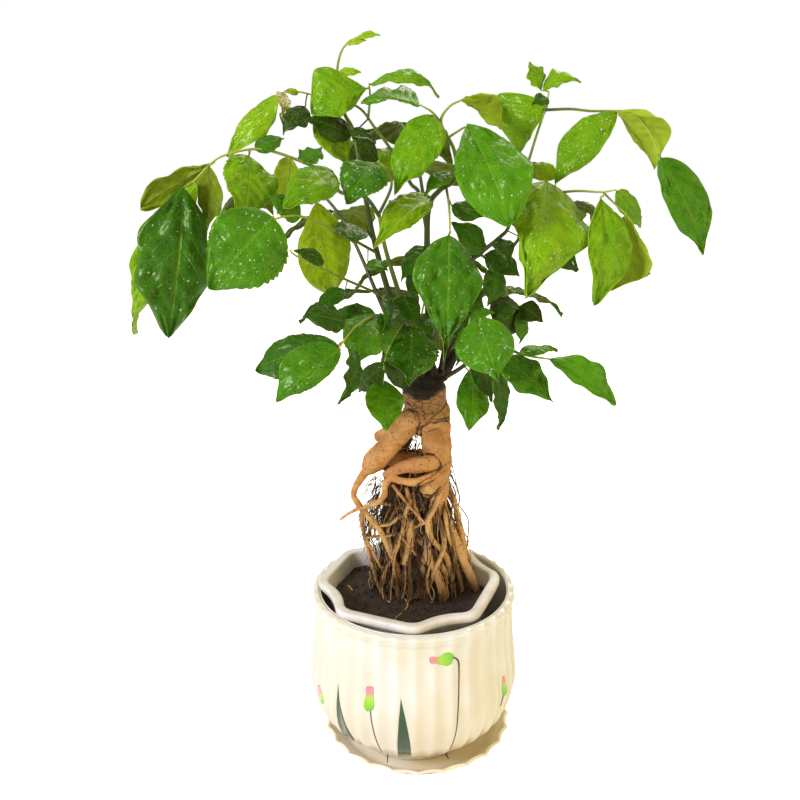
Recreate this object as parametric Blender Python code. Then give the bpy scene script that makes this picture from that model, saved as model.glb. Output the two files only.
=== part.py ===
"""Potted china doll plant: a fluted pot on its saucer, a liner, soil, a trunk with raised roots, leafy stems.

Metres, +Z up. The origin is on the underside of the saucer, on the axis of the pot. The viewer is at -Y.
"""

import math
import random
from functools import partial

import bmesh
import bpy
from mathutils import Vector
from mathutils.bvhtree import BVHTree

MM = 0.001

# The eye that the plant was drawn from: its place, its downward tilt, and how many pixels make one unit
# of slope.
EYE = Vector((-0.0101, -0.640, 0.485))
EYE_TILT = math.radians(18.2)
EYE_PIXELS = 960.0
FRAME_CENTRE = 400.0

# Pot, in millimetres. Each row is height, radius and depth of the flutes there.
POT_FLUTES = 36
POT_SEGMENTS = 72
POT_PROFILE = [
    (8.3, 46.0, 0.0),
    (14.0, 51.5, 0.2),
    (31.0, 69.3, 1.4),
    (46.0, 76.0, 1.5),
    (63.0, 78.4, 1.5),
    (93.0, 75.4, 1.3),
    (117.5, 74.0, 0.7),
    (124.6, 75.3, 0.4),
    (129.0, 73.4, 0.3),
    (128.4, 70.4, 0.0),
    (122.0, 69.4, 0.0),
    (50.0, 71.0, 0.0),
    (18.0, 46.0, 0.0),
]

# Saucer, in millimetres. It stands a little to the right of the pot's axis.
SAUCER_SHIFT = 3.0
SAUCER_SCALLOPS = 24
SAUCER_SEGMENTS = 72
SAUCER_PROFILE = [
    (0.0, 51.0, 0.0),
    (8.0, 62.0, 0.6),
    (15.8, 71.6, 2.4),
    (17.2, 70.4, 2.4),
    (16.2, 68.2, 2.0),
    (8.0, 54.0, 0.0),
]

# Liner, in millimetres: its plan is a square with scooped corners, given by the angles where the scoops end.
# It stands a little to the left and front of the pot's axis. Each ring is height, outset and share of
# the plan.
LINER_CENTRE = (-2.8, -1.2)
LINER_REACH = 62.0
LINER_SCOOPS = [(182.0, 221.5), (273.0, 311.3), (366.5, 406.0), (455.0, 495.0)]
LINER_SCOOP_DEPTH = 4.5
LINER_RINGS = [
    (18.4, 1.6, 0.66),
    (128.6, 2.4, 0.985),
    (129.6, 7.2, 1.0),
    (133.0, 7.6, 1.0),
    (134.6, 6.0, 1.0),
    (134.4, 1.4, 1.0),
    (131.5, 0.0, 1.0),
    (20.4, -0.6, 0.66),
]

SOIL_TOP = 122.0
SOIL_GAP = 0.4
HOLE_GAP = 0.45

LEAF_THICK = 0.8
LEAF_CLEAR = 0.5
# Where a blade's cross lines lie, as shares of its length.
LARGE_STATIONS = [0.09, 0.25, 0.44, 0.65, 0.85]
MEDIUM_STATIONS = [0.12, 0.34, 0.60, 0.84]
SMALL_STATIONS = [0.16, 0.46, 0.78]


def new_mesh_object(name, bm):
    mesh = bpy.data.meshes.new(name)
    bm.to_mesh(mesh)
    bm.free()
    obj = bpy.data.objects.new(name, mesh)
    PARTS.objects.link(obj)
    return obj


def clear_scene():
    for obj in list(bpy.data.objects):
        bpy.data.objects.remove(obj, do_unlink=True)


def make_collections():
    parts = bpy.data.collections.new("potted_china_doll_plant")
    bpy.context.scene.collection.children.link(parts)
    tools = bpy.data.collections.new("cutters")
    bpy.context.scene.collection.children.link(tools)
    return parts, tools


def paint(obj, name, colour, roughness):
    material = bpy.data.materials.new(name)
    material.use_nodes = True
    shader = material.node_tree.nodes["Principled BSDF"]
    shader.inputs["Base Color"].default_value = (*colour, 1.0)
    shader.inputs["Roughness"].default_value = roughness
    material.diffuse_color = (*colour, 1.0)
    obj.data.materials.clear()
    obj.data.materials.append(material)


def smooth(obj):
    for face in obj.data.polygons:
        face.use_smooth = True


def sight(px, py, depth_mm):
    """The point that the eye sees at this pixel, at this distance behind the pot's axis."""
    right = (px - FRAME_CENTRE) / EYE_PIXELS
    up = (FRAME_CENTRE - py) / EYE_PIXELS
    along = math.cos(EYE_TILT) + up * math.sin(EYE_TILT)
    lift = up * math.cos(EYE_TILT) - math.sin(EYE_TILT)
    reach = (depth_mm * MM - EYE.y) / along
    return Vector((EYE.x + reach * right, depth_mm * MM, EYE.z + reach * lift))


def sight_to_height(px, py, height_mm):
    """The point that the eye sees at this pixel, at this height."""
    right = (px - FRAME_CENTRE) / EYE_PIXELS
    up = (FRAME_CENTRE - py) / EYE_PIXELS
    along = math.cos(EYE_TILT) + up * math.sin(EYE_TILT)
    lift = up * math.cos(EYE_TILT) - math.sin(EYE_TILT)
    reach = (height_mm * MM - EYE.z) / lift
    return Vector((EYE.x + reach * right, EYE.y + reach * along, height_mm * MM))


def spun(name, profile, segments, ridges, shift_mm):
    """A turned body with upright ridges: the profile is spun, then each ring is drawn in between them."""
    bm = bmesh.new()
    first = bm.verts.new((0.0, 0.0, profile[0][0] * MM))
    chain = [first]
    for height, radius, _ in profile:
        chain.append(bm.verts.new((radius * MM, 0.0, height * MM)))
    chain.append(bm.verts.new((0.0, 0.0, profile[-1][0] * MM)))
    edges = []
    for a, b in zip(chain, chain[1:]):
        edges.append(bm.edges.new((a, b)))
    bmesh.ops.spin(
        bm,
        geom=chain + edges,
        cent=(0.0, 0.0, 0.0),
        axis=(0.0, 0.0, 1.0),
        angle=math.tau,
        steps=segments,
        use_merge=True,
    )
    bmesh.ops.remove_doubles(bm, verts=bm.verts, dist=1e-6)
    depth_at = {}
    for height, radius, depth in profile:
        depth_at[(round(height, 3), round(radius, 2))] = depth
    for vert in bm.verts:
        radius = math.hypot(vert.co.x, vert.co.y)
        if radius < 1e-6:
            continue
        key = (round(vert.co.z / MM, 3), round(radius / MM, 2))
        depth = depth_at.get(key, 0.0)
        angle = math.atan2(vert.co.y, vert.co.x)
        dip = abs(math.sin(ridges * angle / 2)) ** 0.8
        scale = (radius - depth * dip * MM) / radius
        vert.co.x *= scale
        vert.co.y *= scale
    for vert in bm.verts:
        vert.co.x += shift_mm * MM
    bmesh.ops.recalc_face_normals(bm, faces=bm.faces)
    return new_mesh_object(name, bm)


def liner_plan():
    """Angle and radius, in millimetres, round the inner edge of the liner."""
    plan = []
    for index, (start, end) in enumerate(LINER_SCOOPS):
        following = LINER_SCOOPS[(index + 1) % len(LINER_SCOOPS)][0]
        if following < end:
            following += 360.0
        for step in range(4):
            share = step / 4
            angle = start + (end - start) * share
            half = math.radians((end - start) / 2)
            chord = LINER_REACH * math.cos(half) / math.cos(math.radians(angle - (start + end) / 2))
            plan.append((angle, chord - LINER_SCOOP_DEPTH * math.sin(math.pi * share) ** 0.7))
        for step in range(4):
            share = step / 4
            angle = end + (following - end) * share
            half = math.radians((following - end) / 2)
            off_middle = math.radians(angle - (end + following) / 2)
            plan.append((angle, LINER_REACH * math.cos(half) / math.cos(off_middle)))
    return plan


def lofted(name, plan, rings):
    """A closed body from rings of the plan: each ring is height, outset and share of the plan's size."""
    bm = bmesh.new()
    loops = []
    for height, outset, share in rings:
        loop = []
        for angle, radius in plan:
            reach = (radius * share + outset) * MM
            turn = math.radians(angle)
            x = LINER_CENTRE[0] * MM + reach * math.cos(turn)
            y = LINER_CENTRE[1] * MM + reach * math.sin(turn)
            loop.append(bm.verts.new((x, y, height * MM)))
        loops.append(loop)
    count = len(plan)
    for low, high in zip(loops, loops[1:]):
        for i in range(count):
            j = (i + 1) % count
            bm.faces.new((low[i], low[j], high[j], high[i]))
    for loop, height in ((loops[0], rings[0][0]), (loops[-1], rings[-1][0])):
        centre = bm.verts.new((LINER_CENTRE[0] * MM, LINER_CENTRE[1] * MM, height * MM))
        for i in range(count):
            bm.faces.new((loop[i], loop[(i + 1) % count], centre))
    bmesh.ops.recalc_face_normals(bm, faces=bm.faces)
    return new_mesh_object(name, bm)


def curve_through(points, steps):
    """A smooth line through the points, with this many steps between each two."""
    line = []
    for i in range(len(points) - 1):
        before = points[max(i - 1, 0)]
        start = points[i]
        end = points[i + 1]
        after = points[min(i + 2, len(points) - 1)]
        for step in range(steps):
            t = step / steps
            line.append(
                0.5
                * (
                    2 * start
                    + (end - before) * t
                    + (2 * before - 5 * start + 4 * end - after) * t * t
                    + (3 * start - before - 3 * end + after) * t * t * t
                )
            )
    line.append(points[-1])
    return line


def tube_shape(line, radii_mm, sides, first_bulge=0.3, last_bulge=0.5):
    """Points and triangles of a closed tube along the line, with ends that bulge by a share of radius."""
    points = []
    faces = []
    axis = (line[1] - line[0]).normalized()
    across = axis.cross(Vector((0.31, 0.87, 0.39))).normalized()
    for i, centre in enumerate(line):
        ahead = line[min(i + 1, len(line) - 1)]
        behind = line[max(i - 1, 0)]
        axis = (ahead - behind).normalized()
        across = (across - axis * across.dot(axis)).normalized()
        other = axis.cross(across)
        for k in range(sides):
            turn = math.tau * k / sides
            points.append(centre + (across * math.cos(turn) + other * math.sin(turn)) * radii_mm[i] * MM)
    for i in range(len(line) - 1):
        for k in range(sides):
            a = i * sides + k
            b = i * sides + (k + 1) % sides
            faces.append((a, b, b + sides))
            faces.append((a, b + sides, a + sides))
    start = len(points)
    points.append(line[0] - (line[1] - line[0]).normalized() * radii_mm[0] * first_bulge * MM)
    points.append(line[-1] + (line[-1] - line[-2]).normalized() * radii_mm[-1] * last_bulge * MM)
    last = (len(line) - 1) * sides
    for k in range(sides):
        faces.append((start, (k + 1) % sides, k))
        faces.append((start + 1, last + k, last + (k + 1) % sides))
    return points, faces


def object_from(name, shape, collection):
    points, faces = shape
    mesh = bpy.data.meshes.new(name)
    mesh.from_pydata([tuple(p) for p in points], [], faces)
    mesh.update()
    obj = bpy.data.objects.new(name, mesh)
    collection.objects.link(obj)
    return obj


def fuse(name, shapes):
    """One body from closed shapes that run into each other."""
    base = object_from(name, shapes[0], PARTS)
    extras = bpy.data.collections.new(name + "_extras")
    bpy.context.scene.collection.children.link(extras)
    for index, shape in enumerate(shapes[1:]):
        object_from(f"{name}_extra_{index}", shape, extras)
    apply_boolean(base, extras, "UNION")
    return base


def cut_away(base, shapes):
    """Takes the shapes out of the body."""
    extras = bpy.data.collections.new(base.name + "_cutters")
    bpy.context.scene.collection.children.link(extras)
    for index, shape in enumerate(shapes):
        object_from(f"{base.name}_cutter_{index}", shape, extras)
    apply_boolean(base, extras, "DIFFERENCE")


def apply_boolean(base, collection, operation):
    modifier = base.modifiers.new(operation.lower(), "BOOLEAN")
    modifier.operation = operation
    modifier.operand_type = "COLLECTION"
    modifier.collection = collection
    modifier.solver = "MANIFOLD"
    bpy.context.view_layer.update()
    graph = bpy.context.evaluated_depsgraph_get()
    done = bpy.data.meshes.new_from_object(base.evaluated_get(graph))
    base.modifiers.clear()
    base.data = done
    for obj in list(collection.objects):
        bpy.data.objects.remove(obj, do_unlink=True)
    bpy.data.collections.remove(collection)


def taper(count, first, last):
    radii = []
    for i in range(count):
        radii.append(first + (last - first) * i / (count - 1))
    return radii


# Trunk and legs. Each row of a limb is pixel x, pixel y, distance behind the axis and radius, both in
# millimetres.
LIMBS = [
    [(426, 377, 1, 12.0), (425, 385, 1, 14.8), (424.5, 395, 1, 15.2), (427, 413, 1, 16.6), (427, 428, 1, 11.0)],
    [
        (433, 408, 0, 11.6), (436, 425, 0, 10.8), (436.5, 440, 0, 11.0), (437.5, 458, -1, 10.4),
        (438, 475, -2, 8.8), (438, 492, -3, 7.8), (436, 508, -4, 5.6), (434, 522, -4, 3.2),
    ],
    [
        (415, 415, 0, 9.6), (405, 428, -2, 8.4), (394, 440, -4, 8.0), (383, 452, -6, 8.2),
        (374.5, 461, -7, 8.2), (368, 469, -8, 5.6),
    ],
    [(400, 424, 6, 5.0), (390, 431, 10, 4.6), (378, 437, 13, 4.2)],
    [(441, 468, -4, 6.8), (436, 477, -7, 8.2), (430.5, 486, -8, 7.7), (426, 492, -7, 5.6)],
]

# Roots: as limbs, and each ends in the soil.
ROOTS = [
    [
        (368, 468, -8, 3.6), (354, 491, -9, 2.3), (359, 505, -9, 2.2), (379, 529, -9, 2.2),
        (392, 556, -8, 2.2), (401, 579, -7, 2.2), (405, 592, -6, 2.2),
    ],
    [
        (441, 486, -8, 2.6), (436, 504, -12, 2.2), (428, 521, -13, 2.2), (432, 539, -13, 2.2),
        (445, 554, -11, 2.2), (451, 576, -9, 2.2), (453, 590, -8, 2.3),
    ],
    [(443, 480, 0, 3.0), (454, 501, -2, 2.2), (459, 523, -2, 2.2), (464, 548, 0, 1.9), (469, 583, 2, 1.6)],
    [
        (440, 496, -4, 2.2), (455, 538, -6, 3.2), (464, 562, -6, 3.4), (471, 577, -4, 3.2),
        (475, 588, -3, 3.2),
    ],
    [
        (404, 520, 0, 2.0), (415, 536, -6, 2.0), (434, 556, -9, 2.0), (445, 572, -12, 2.0),
        (448, 588, -12, 2.0),
    ],
    [
        (426, 510, -3, 2.2), (422, 542, -4, 2.2), (415, 560, -5, 2.2), (410, 578, -6, 2.2),
        (408, 592, -6, 2.2),
    ],
    [
        (430, 512, -4, 2.4), (428, 553, -13, 3.0), (436, 572, -15, 3.2), (441, 586, -15, 3.2),
        (443, 598, -15, 3.2),
    ],
    [(424, 545, -4, 2.4), (424, 570, -8, 3.0), (418, 590, -8, 3.2)],
    [
        (362, 508, -9, 1.8), (363, 530, -4, 1.5), (369, 552, -2, 1.4), (377, 582, -4, 1.4),
        (385, 597, -8, 1.5),
    ],
    [(372, 520, -9, 1.6), (368, 545, 4, 1.4), (376, 566, 6, 1.4), (394, 584, 4, 1.4)],
    [(398, 505, -4, 1.8), (388, 530, -6, 1.8), (394, 560, -9, 1.8), (398, 596, -10, 1.8)],
    [(444, 490, -3, 2.0), (446, 520, -10, 1.8), (452, 548, -9, 1.8), (462, 590, -5, 1.8)],
    [(440, 520, -6, 1.8), (444, 546, -14, 1.8), (434, 572, -17, 1.8), (428, 596, -16, 1.8)],
]

# The dense root ball that the roots wrap.
CORE = [(424, 466, 4, 6.0), (415, 500, 7, 13.0), (417, 540, 9, 18.0), (420, 585, 9, 20.0)]

# Roots that cross from one side to the other and end on another root.
CROSS_ROOTS = [
    [
        (441, 460, -8, 4.8), (428, 460.5, -13, 5.9), (416, 463, -14, 5.8), (402, 467, -13, 4.4),
        (386, 472, -11, 2.8),
    ],
    [
        (443, 467, -9, 3.0), (430, 477, -14, 3.1), (416, 482, -15, 3.0), (402, 481, -15, 2.7),
        (391, 479, -15, 2.4), (385, 486, -15, 2.2), (384, 496, -14, 2.1), (374, 504.5, -14, 1.8),
        (361, 508, -13, 1.6), (351, 512, -13, 1.3), (340, 519.5, -13, 1.0),
    ],
    [(381, 525, -9, 1.7), (391, 523, -10, 1.9), (402, 515, -9, 1.6), (424, 508, -4, 1.5)],
    [(367, 537, -8, 1.2), (385, 536, -9, 1.4), (403, 531, -9, 1.5), (428, 521, -13, 1.6)],
    [(372, 500, -14, 1.7), (396, 505, -2, 1.6), (428, 500, -3, 1.8)],
]

CROWN = (426, 386, 1)
STEM_GAP = 0.35
STUB_LENGTH = 3.0

FINE_ROOTS = 7
FINE_ROOT_SEED = 7

# Stems and rachises of each leafy stem. Each row is pixel x, pixel y and distance behind the axis in
# millimetres; the two numbers after the rows are the radii at its ends. The first path of a node leaves the
# trunk.
STEMS = {
    "leafy_stem_left": [
        (
            [
                (413, 368, 2), (404, 330, 4), (388, 290, 6), (374, 240, 8), (365, 195, 10),
                (354, 134, 18), (344, 112, 27), (337, 78, 30), (342, 50, 30), (357, 37, 28),
            ],
            3.0,
            0.8,
        ),
        ([(377, 253, 7), (340, 233, -25), (300, 216, -60), (271, 220, -86)], 1.3, 0.9),
        ([(391, 299, 5), (349, 281, -25), (300, 258, -57), (290, 250, -63)], 1.2, 0.8),
        ([(402, 324, 4), (380, 316, -38), (356, 326, -70), (338, 350, -92)], 1.3, 0.8),
    ],
    "leafy_stem_upper_left": [
        ([(420, 367, -8), (408, 320, -9), (397, 287, -10), (385, 247, -12), (379, 214, -15)], 2.5, 1.9),
        (
            [
                (379, 216, -15), (365, 197, -18), (340, 192, -25), (334, 177, -28),
                (305, 163, -34), (275, 152, -41), (255, 149, -44), (232, 153, -50),
                (214, 161, -54), (192, 183, -63),
            ],
            1.6,
            0.8,
        ),
        ([(379, 214, -15), (391, 188, -12), (389, 172, -15), (380, 163, -22)], 1.3, 0.9),
        ([(407, 318, -9), (398, 330, -28), (386, 356, -34), (383, 386, -28)], 1.3, 0.8),
    ],
    "leafy_stem_top": [
        (
            [
                (430, 366, 8), (430, 300, 13), (428, 243, 16), (420, 196, 18), (411, 184, 19),
                (402, 168, 20), (395, 155, 21), (375, 128, 22), (358, 107, 24), (330, 100, 26),
                (300, 92, 28), (282, 93, 30),
            ],
            2.0,
            0.8,
        ),
        ([(368, 119, 22), (370, 98, 24), (369, 83, 24)], 1.1, 0.8),
    ],
    "leafy_stem_middle": [
        (
            [
                (432, 367, -4), (429, 330, -3), (428, 300, -2), (427, 243, 0), (429, 206, 0),
                (440, 190, -2), (456, 178, -4), (454, 150, -2), (441, 123, 0), (449, 107, 0),
                (462, 100, 2),
            ],
            3.2,
            0.9,
        ),
        ([(446, 186, -3), (449, 206, -17), (450, 232, -38)], 1.1, 0.9),
        ([(441, 123, 0), (432, 112, -4), (422, 106, -6)], 1.1, 0.8),
        ([(428, 292, -2), (424, 304, -6), (421, 318, -8)], 1.1, 0.8),
    ],
    "leafy_stem_right": [
        (
            [
                (441, 369, 4), (450, 320, 5), (460, 272, 6), (478, 255, 7), (500, 237, 8),
                (509, 226, 8), (520, 190, 8), (535, 140, 8), (545, 110, 8), (549, 92, 9),
            ],
            2.4,
            0.8,
        ),
        (
            [
                (545, 110, 8), (570, 109, 6), (591, 111, 4), (612, 111, 2), (632, 113, 0),
                (648, 131, 0), (659, 154, 0),
            ],
            1.2,
            0.8,
        ),
        ([(518, 196, 8), (545, 194, -6), (576, 191, -15), (601, 192, -22), (615, 190, -25)], 1.3, 0.8),
        ([(603, 192, -22), (613, 202, -23), (626, 214, -25)], 0.9, 0.8),
        ([(480, 254, 7), (500, 272, 14), (508, 296, 18), (521, 312, 20)], 1.1, 0.8),
    ],
    "leafy_stem_low_right": [
        (
            [
                (446, 377, -8), (462, 367, -15), (478, 352, -34), (500, 345, -54), (518, 353, -63),
                (535, 357, -66), (549, 359, -66),
            ],
            2.0,
            0.9,
        ),
        ([(476, 354, -31), (476, 340, -57), (479, 325, -79)], 1.0, 0.8),
        ([(464, 366, -17), (466, 340, -15), (470, 318, -12)], 1.0, 0.8),
    ],
}

# A leaflet's outline: how much wider it is on the picture's right than on its left, as a share, how far
# along it is widest, and how blunt its tip is, from 0 to 1.
OVAL = (0.0, 0.38, 0.0)

# Leaflets that face the viewer. Each row is: node, pixel and depth of the base, pixel and depth of the tip,
# width in pixels as seen, turn of the blade away from the eye in degrees, arch as a share of the length,
# and outline.
LEAFLETS = [
    ("leafy_stem_left", 337, 74, 29, 361, 72, 24, 8, 30, 0.12, (0, 0.45, 0.3)),
    ("leafy_stem_left", 346, 44, 29, 366, 40, 26, 6, 40, 0.10, (0, 0.5, 0.3)),
    ("leafy_stem_left", 357, 38, 28, 380, 35, 24, 6, 40, 0.12, (0, 0.5, 0.3)),
    ("leafy_stem_left", 350, 130, 18, 376, 143, 14, 12, 35, 0.12, OVAL),
    ("leafy_stem_left", 377, 163, 12, 353, 136, 4, 20, 30, 0.10, (0, 0.42, 0.2)),
    ("leafy_stem_left", 273, 217, -86, 209, 289, -98, 78, 8, 0.10, (0.05, 0.38, 0.45)),
    ("leafy_stem_left", 301, 217, -60, 268, 196, -70, 22, 40, 0.10, OVAL),
    ("leafy_stem_left", 336, 231, -28, 373, 236, -18, 16, 65, 0.10, OVAL),
    ("leafy_stem_left", 368, 262, -6, 388, 270, -15, 14, 50, 0.08, OVAL),
    ("leafy_stem_left", 324, 262, -44, 294, 250, -52, 14, 35, 0.10, OVAL),
    ("leafy_stem_left", 345, 290, -28, 316, 312, -41, 18, 40, 0.12, OVAL),
    ("leafy_stem_left", 340, 350, -92, 276, 402, -108, 44, 12, 0.14, (-0.35, 0.42, 0.3)),
    ("leafy_stem_left", 380, 314, -41, 350, 369, -82, 50, 10, 0.14, OVAL),
    ("leafy_stem_left", 345, 323, -79, 303, 316, -86, 26, 35, 0.10, OVAL),
    ("leafy_stem_left", 338, 345, -82, 256, 371, -66, 42, 25, 0.12, (0, 0.5, 0.4)),
    ("leafy_stem_left", 357, 352, -73, 339, 404, -70, 18, 45, 0.10, OVAL),
    ("leafy_stem_left", 375, 318, -41, 330, 318, -25, 22, 30, 0.10, OVAL),
    ("leafy_stem_upper_left", 184, 188, -63, 169, 338, -86, 72, 8, 0.08, (-0.08, 0.5, 0.4)),
    ("leafy_stem_upper_left", 214, 162, -54, 141, 205, -41, 28, 150, 0.02, (0, 0.66, 0.5)),
    ("leafy_stem_upper_left", 208, 166, -54, 205, 234, -34, 24, 140, 0.10, OVAL),
    ("leafy_stem_upper_left", 196, 180, -60, 133, 335, -25, 30, 35, 0.10, OVAL),
    ("leafy_stem_upper_left", 249, 156, -42, 243, 215, -66, 50, 20, 0.12, (0.05, 0.45, 0.8)),
    ("leafy_stem_upper_left", 290, 158, -39, 278, 214, -25, 26, 145, 0.10, OVAL),
    ("leafy_stem_upper_left", 256, 150, -44, 284, 138, -31, 16, 40, 0.10, OVAL),
    ("leafy_stem_upper_left", 303, 163, -36, 322, 148, -25, 18, 50, 0.10, OVAL),
    ("leafy_stem_upper_left", 316, 203, -22, 331, 295, -5, 53, 15, 0.08, (0, 0.55, 0.7)),
    ("leafy_stem_upper_left", 333, 172, -28, 284, 208, -57, 40, 15, 0.12, (0, 0.42, 0.5)),
    ("leafy_stem_upper_left", 376, 163, -22, 346, 203, -47, 44, 20, 0.12, (0, 0.4, 0.3)),
    ("leafy_stem_upper_left", 412, 326, -18, 409, 386, -47, 54, 10, 0.10, OVAL),
    ("leafy_stem_upper_left", 382, 385, -30, 387, 430, -47, 38, 15, 0.10, (0, 0.4, 0.3)),
    ("leafy_stem_upper_left", 385, 366, -33, 358, 392, -25, 22, 30, 0.10, OVAL),
    ("leafy_stem_upper_left", 386, 352, -33, 404, 392, -18, 20, 35, 0.10, OVAL),
    ("leafy_stem_upper_left", 392, 300, -10, 384, 332, -25, 26, 30, 0.10, OVAL),
    ("leafy_stem_upper_left", 402, 296, -10, 416, 328, -22, 24, 35, 0.10, OVAL),
    ("leafy_stem_top", 277, 95, 30, 226, 156, 26, 24, 35, 0.02, (0.15, 0.42, 0.3)),
    ("leafy_stem_top", 281, 93, 30, 282, 116, 24, 13, 30, 0.10, OVAL),
    ("leafy_stem_top", 298, 93, 28, 284, 91, 24, 6, 30, 0.15, OVAL),
    ("leafy_stem_top", 305, 107, 28, 283, 134, 18, 24, 35, 0.12, OVAL),
    ("leafy_stem_top", 368, 88, 24, 311, 112, 16, 48, 20, 0.12, (-0.35, 0.62, 0.3)),
    ("leafy_stem_top", 371, 84, 24, 439, 98, 20, 12, 62, 0.27, OVAL),
    ("leafy_stem_top", 317, 114, 34, 347, 164, 31, 32, 30, 0.12, (0, 0.45, 0.3)),
    ("leafy_stem_top", 352, 135, 26, 307, 118, 17, 27, 25, 0.05, (0, 0.45, 0.4)),
    ("leafy_stem_top", 400, 164, 20, 372, 150, 22, 20, 45, 0.12, OVAL),
    ("leafy_stem_middle", 419, 105, -6, 361, 103, -2, 17, 68, 0.10, (0.8, 0.45, 0.4)),
    ("leafy_stem_middle", 433, 116, -4, 394.5, 194, -25, 45, 15, 0.10, (0.05, 0.36, 0.2)),
    ("leafy_stem_middle", 467, 126, -1, 510, 223, -63, 70, 10, 0.12, (0.1, 0.58, 0.7)),
    ("leafy_stem_middle", 463, 101, 2, 503, 103, 18, 10, 60, 0.05, OVAL),
    ("leafy_stem_middle", 463, 99, 2, 501, 129, 22, 28, 140, 0.12, (0.6, 0.58, 0.1)),
    ("leafy_stem_middle", 430, 197, -2, 375, 246, -47, 34, 20, 0.12, (-0.2, 0.38, 0.2)),
    ("leafy_stem_middle", 451, 172, -4, 424, 195, -18, 15, 40, 0.10, OVAL),
    ("leafy_stem_middle", 449, 235, -38, 444, 360, -86, 70, 8, 0.08, (0, 0.32, -0.4)),
    ("leafy_stem_middle", 429, 248, -1, 401, 281, -25, 26, 30, 0.10, OVAL),
    ("leafy_stem_middle", 421, 316, -8, 432, 336, -28, 18, 30, 0.10, OVAL),
    ("leafy_stem_middle", 452, 206, -6, 485, 216, -14, 22, 30, 0.10, (0, 0.45, 0.3)),
    ("leafy_stem_right", 546, 103, 8, 520, 153, -4, 50, 20, 0.20, (-0.75, 0.4, 0.35)),
    ("leafy_stem_right", 543, 90, 9, 581, 82, 4, 16, 35, 0.20, (-0.7, 0.34, 0)),
    ("leafy_stem_right", 541, 90, 9, 529, 62, 12, 16, 35, 0.12, (0, 0.5, 0)),
    ("leafy_stem_right", 548, 98, 9, 532, 104, 0, 13, 30, 0.08, OVAL),
    ("leafy_stem_right", 617, 112, 2, 555, 183, -8, 37, 15, 0.12, (-0.25, 0.5, 0.2)),
    ("leafy_stem_right", 618, 112, 1, 655, 167, 12, 34, 150, 0.10, (0.7, 0.45, 0.2)),
    ("leafy_stem_right", 661, 158, 0, 704, 255, -6, 38, 20, 0.10, (0.2, 0.42, 0.15)),
    ("leafy_stem_right", 546, 181, -10, 526, 298, -70, 84, 10, 0.12, (0.33, 0.3, 0.3)),
    ("leafy_stem_right", 601, 198, -22, 596, 305, -47, 42, 30, 0.10, (0.3, 0.5, 0.2)),
    ("leafy_stem_right", 626, 215, -25, 613, 290, -15, 46, 145, 0.10, (0.3, 0.5, 0.2)),
    ("leafy_stem_right", 617, 191, -25, 641, 228, -10, 18, 35, 0.10, OVAL),
    ("leafy_stem_right", 556, 177, -6, 520, 167, -2, 18, 35, 0.10, OVAL),
    ("leafy_stem_right", 548, 252, 8, 577, 272, 10, 14, 35, 0.10, OVAL),
    ("leafy_stem_right", 486, 254, 8, 520, 276, 2, 24, 30, 0.10, OVAL),
    ("leafy_stem_right", 497, 268, 13, 488, 306, 4, 24, 35, 0.10, OVAL),
    ("leafy_stem_right", 508, 296, 18, 494, 324, 8, 26, 30, 0.10, OVAL),
    ("leafy_stem_right", 520, 306, 20, 543, 322, 14, 22, 30, 0.10, OVAL),
    ("leafy_stem_right", 521, 310, 20, 520, 344, 14, 14, 40, 0.10, OVAL),
    ("leafy_stem_right", 484, 250, 7, 452, 222, 0, 26, 30, 0.10, OVAL),
    ("leafy_stem_right", 498, 238, 8, 510, 262, -4, 18, 35, 0.10, OVAL),
    ("leafy_stem_right", 474, 258, 7, 478, 232, 2, 20, 35, 0.10, OVAL),
    ("leafy_stem_right", 462, 270, 6, 470, 300, -4, 22, 35, 0.10, OVAL),
    ("leafy_stem_right", 456, 292, 6, 486, 312, 0, 24, 30, 0.10, OVAL),
    ("leafy_stem_right", 452, 312, 5, 470, 344, -2, 26, 30, 0.10, OVAL),
    ("leafy_stem_right", 466, 262, 6, 448, 292, 8, 24, 40, 0.10, OVAL),
    ("leafy_stem_right", 512, 300, 19, 500, 344, 16, 26, 30, 0.10, OVAL),
    ("leafy_stem_middle", 428, 280, -2, 452, 304, 4, 24, 35, 0.10, OVAL),
    ("leafy_stem_middle", 427, 262, -1, 410, 300, 6, 24, 35, 0.10, OVAL),
    ("leafy_stem_low_right", 479, 325, -79, 497, 380, -108, 60, 10, 0.08, OVAL),
    ("leafy_stem_low_right", 504, 357, -62, 553, 402, -82, 34, 15, 0.12, OVAL),
    ("leafy_stem_low_right", 549, 359, -66, 616, 405, -76, 27, 20, 0.12, (0.45, 0.5, 0.3)),
    ("leafy_stem_low_right", 520, 353, -63, 558, 350, -50, 10, 60, 0.10, OVAL),
    ("leafy_stem_low_right", 472, 375, -20, 469, 430, -47, 33, 15, 0.10, (0.1, 0.45, 0.3)),
    ("leafy_stem_low_right", 474, 357, -28, 492, 402, -22, 24, 35, 0.10, OVAL),
    ("leafy_stem_low_right", 498, 368, -47, 498, 430, -41, 14, 45, 0.10, OVAL),
    ("leafy_stem_low_right", 470, 318, -12, 494, 312, -18, 12, 45, 0.10, OVAL),
    ("leafy_stem_low_right", 468, 328, -14, 456, 366, -25, 18, 35, 0.10, OVAL),
]

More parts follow.
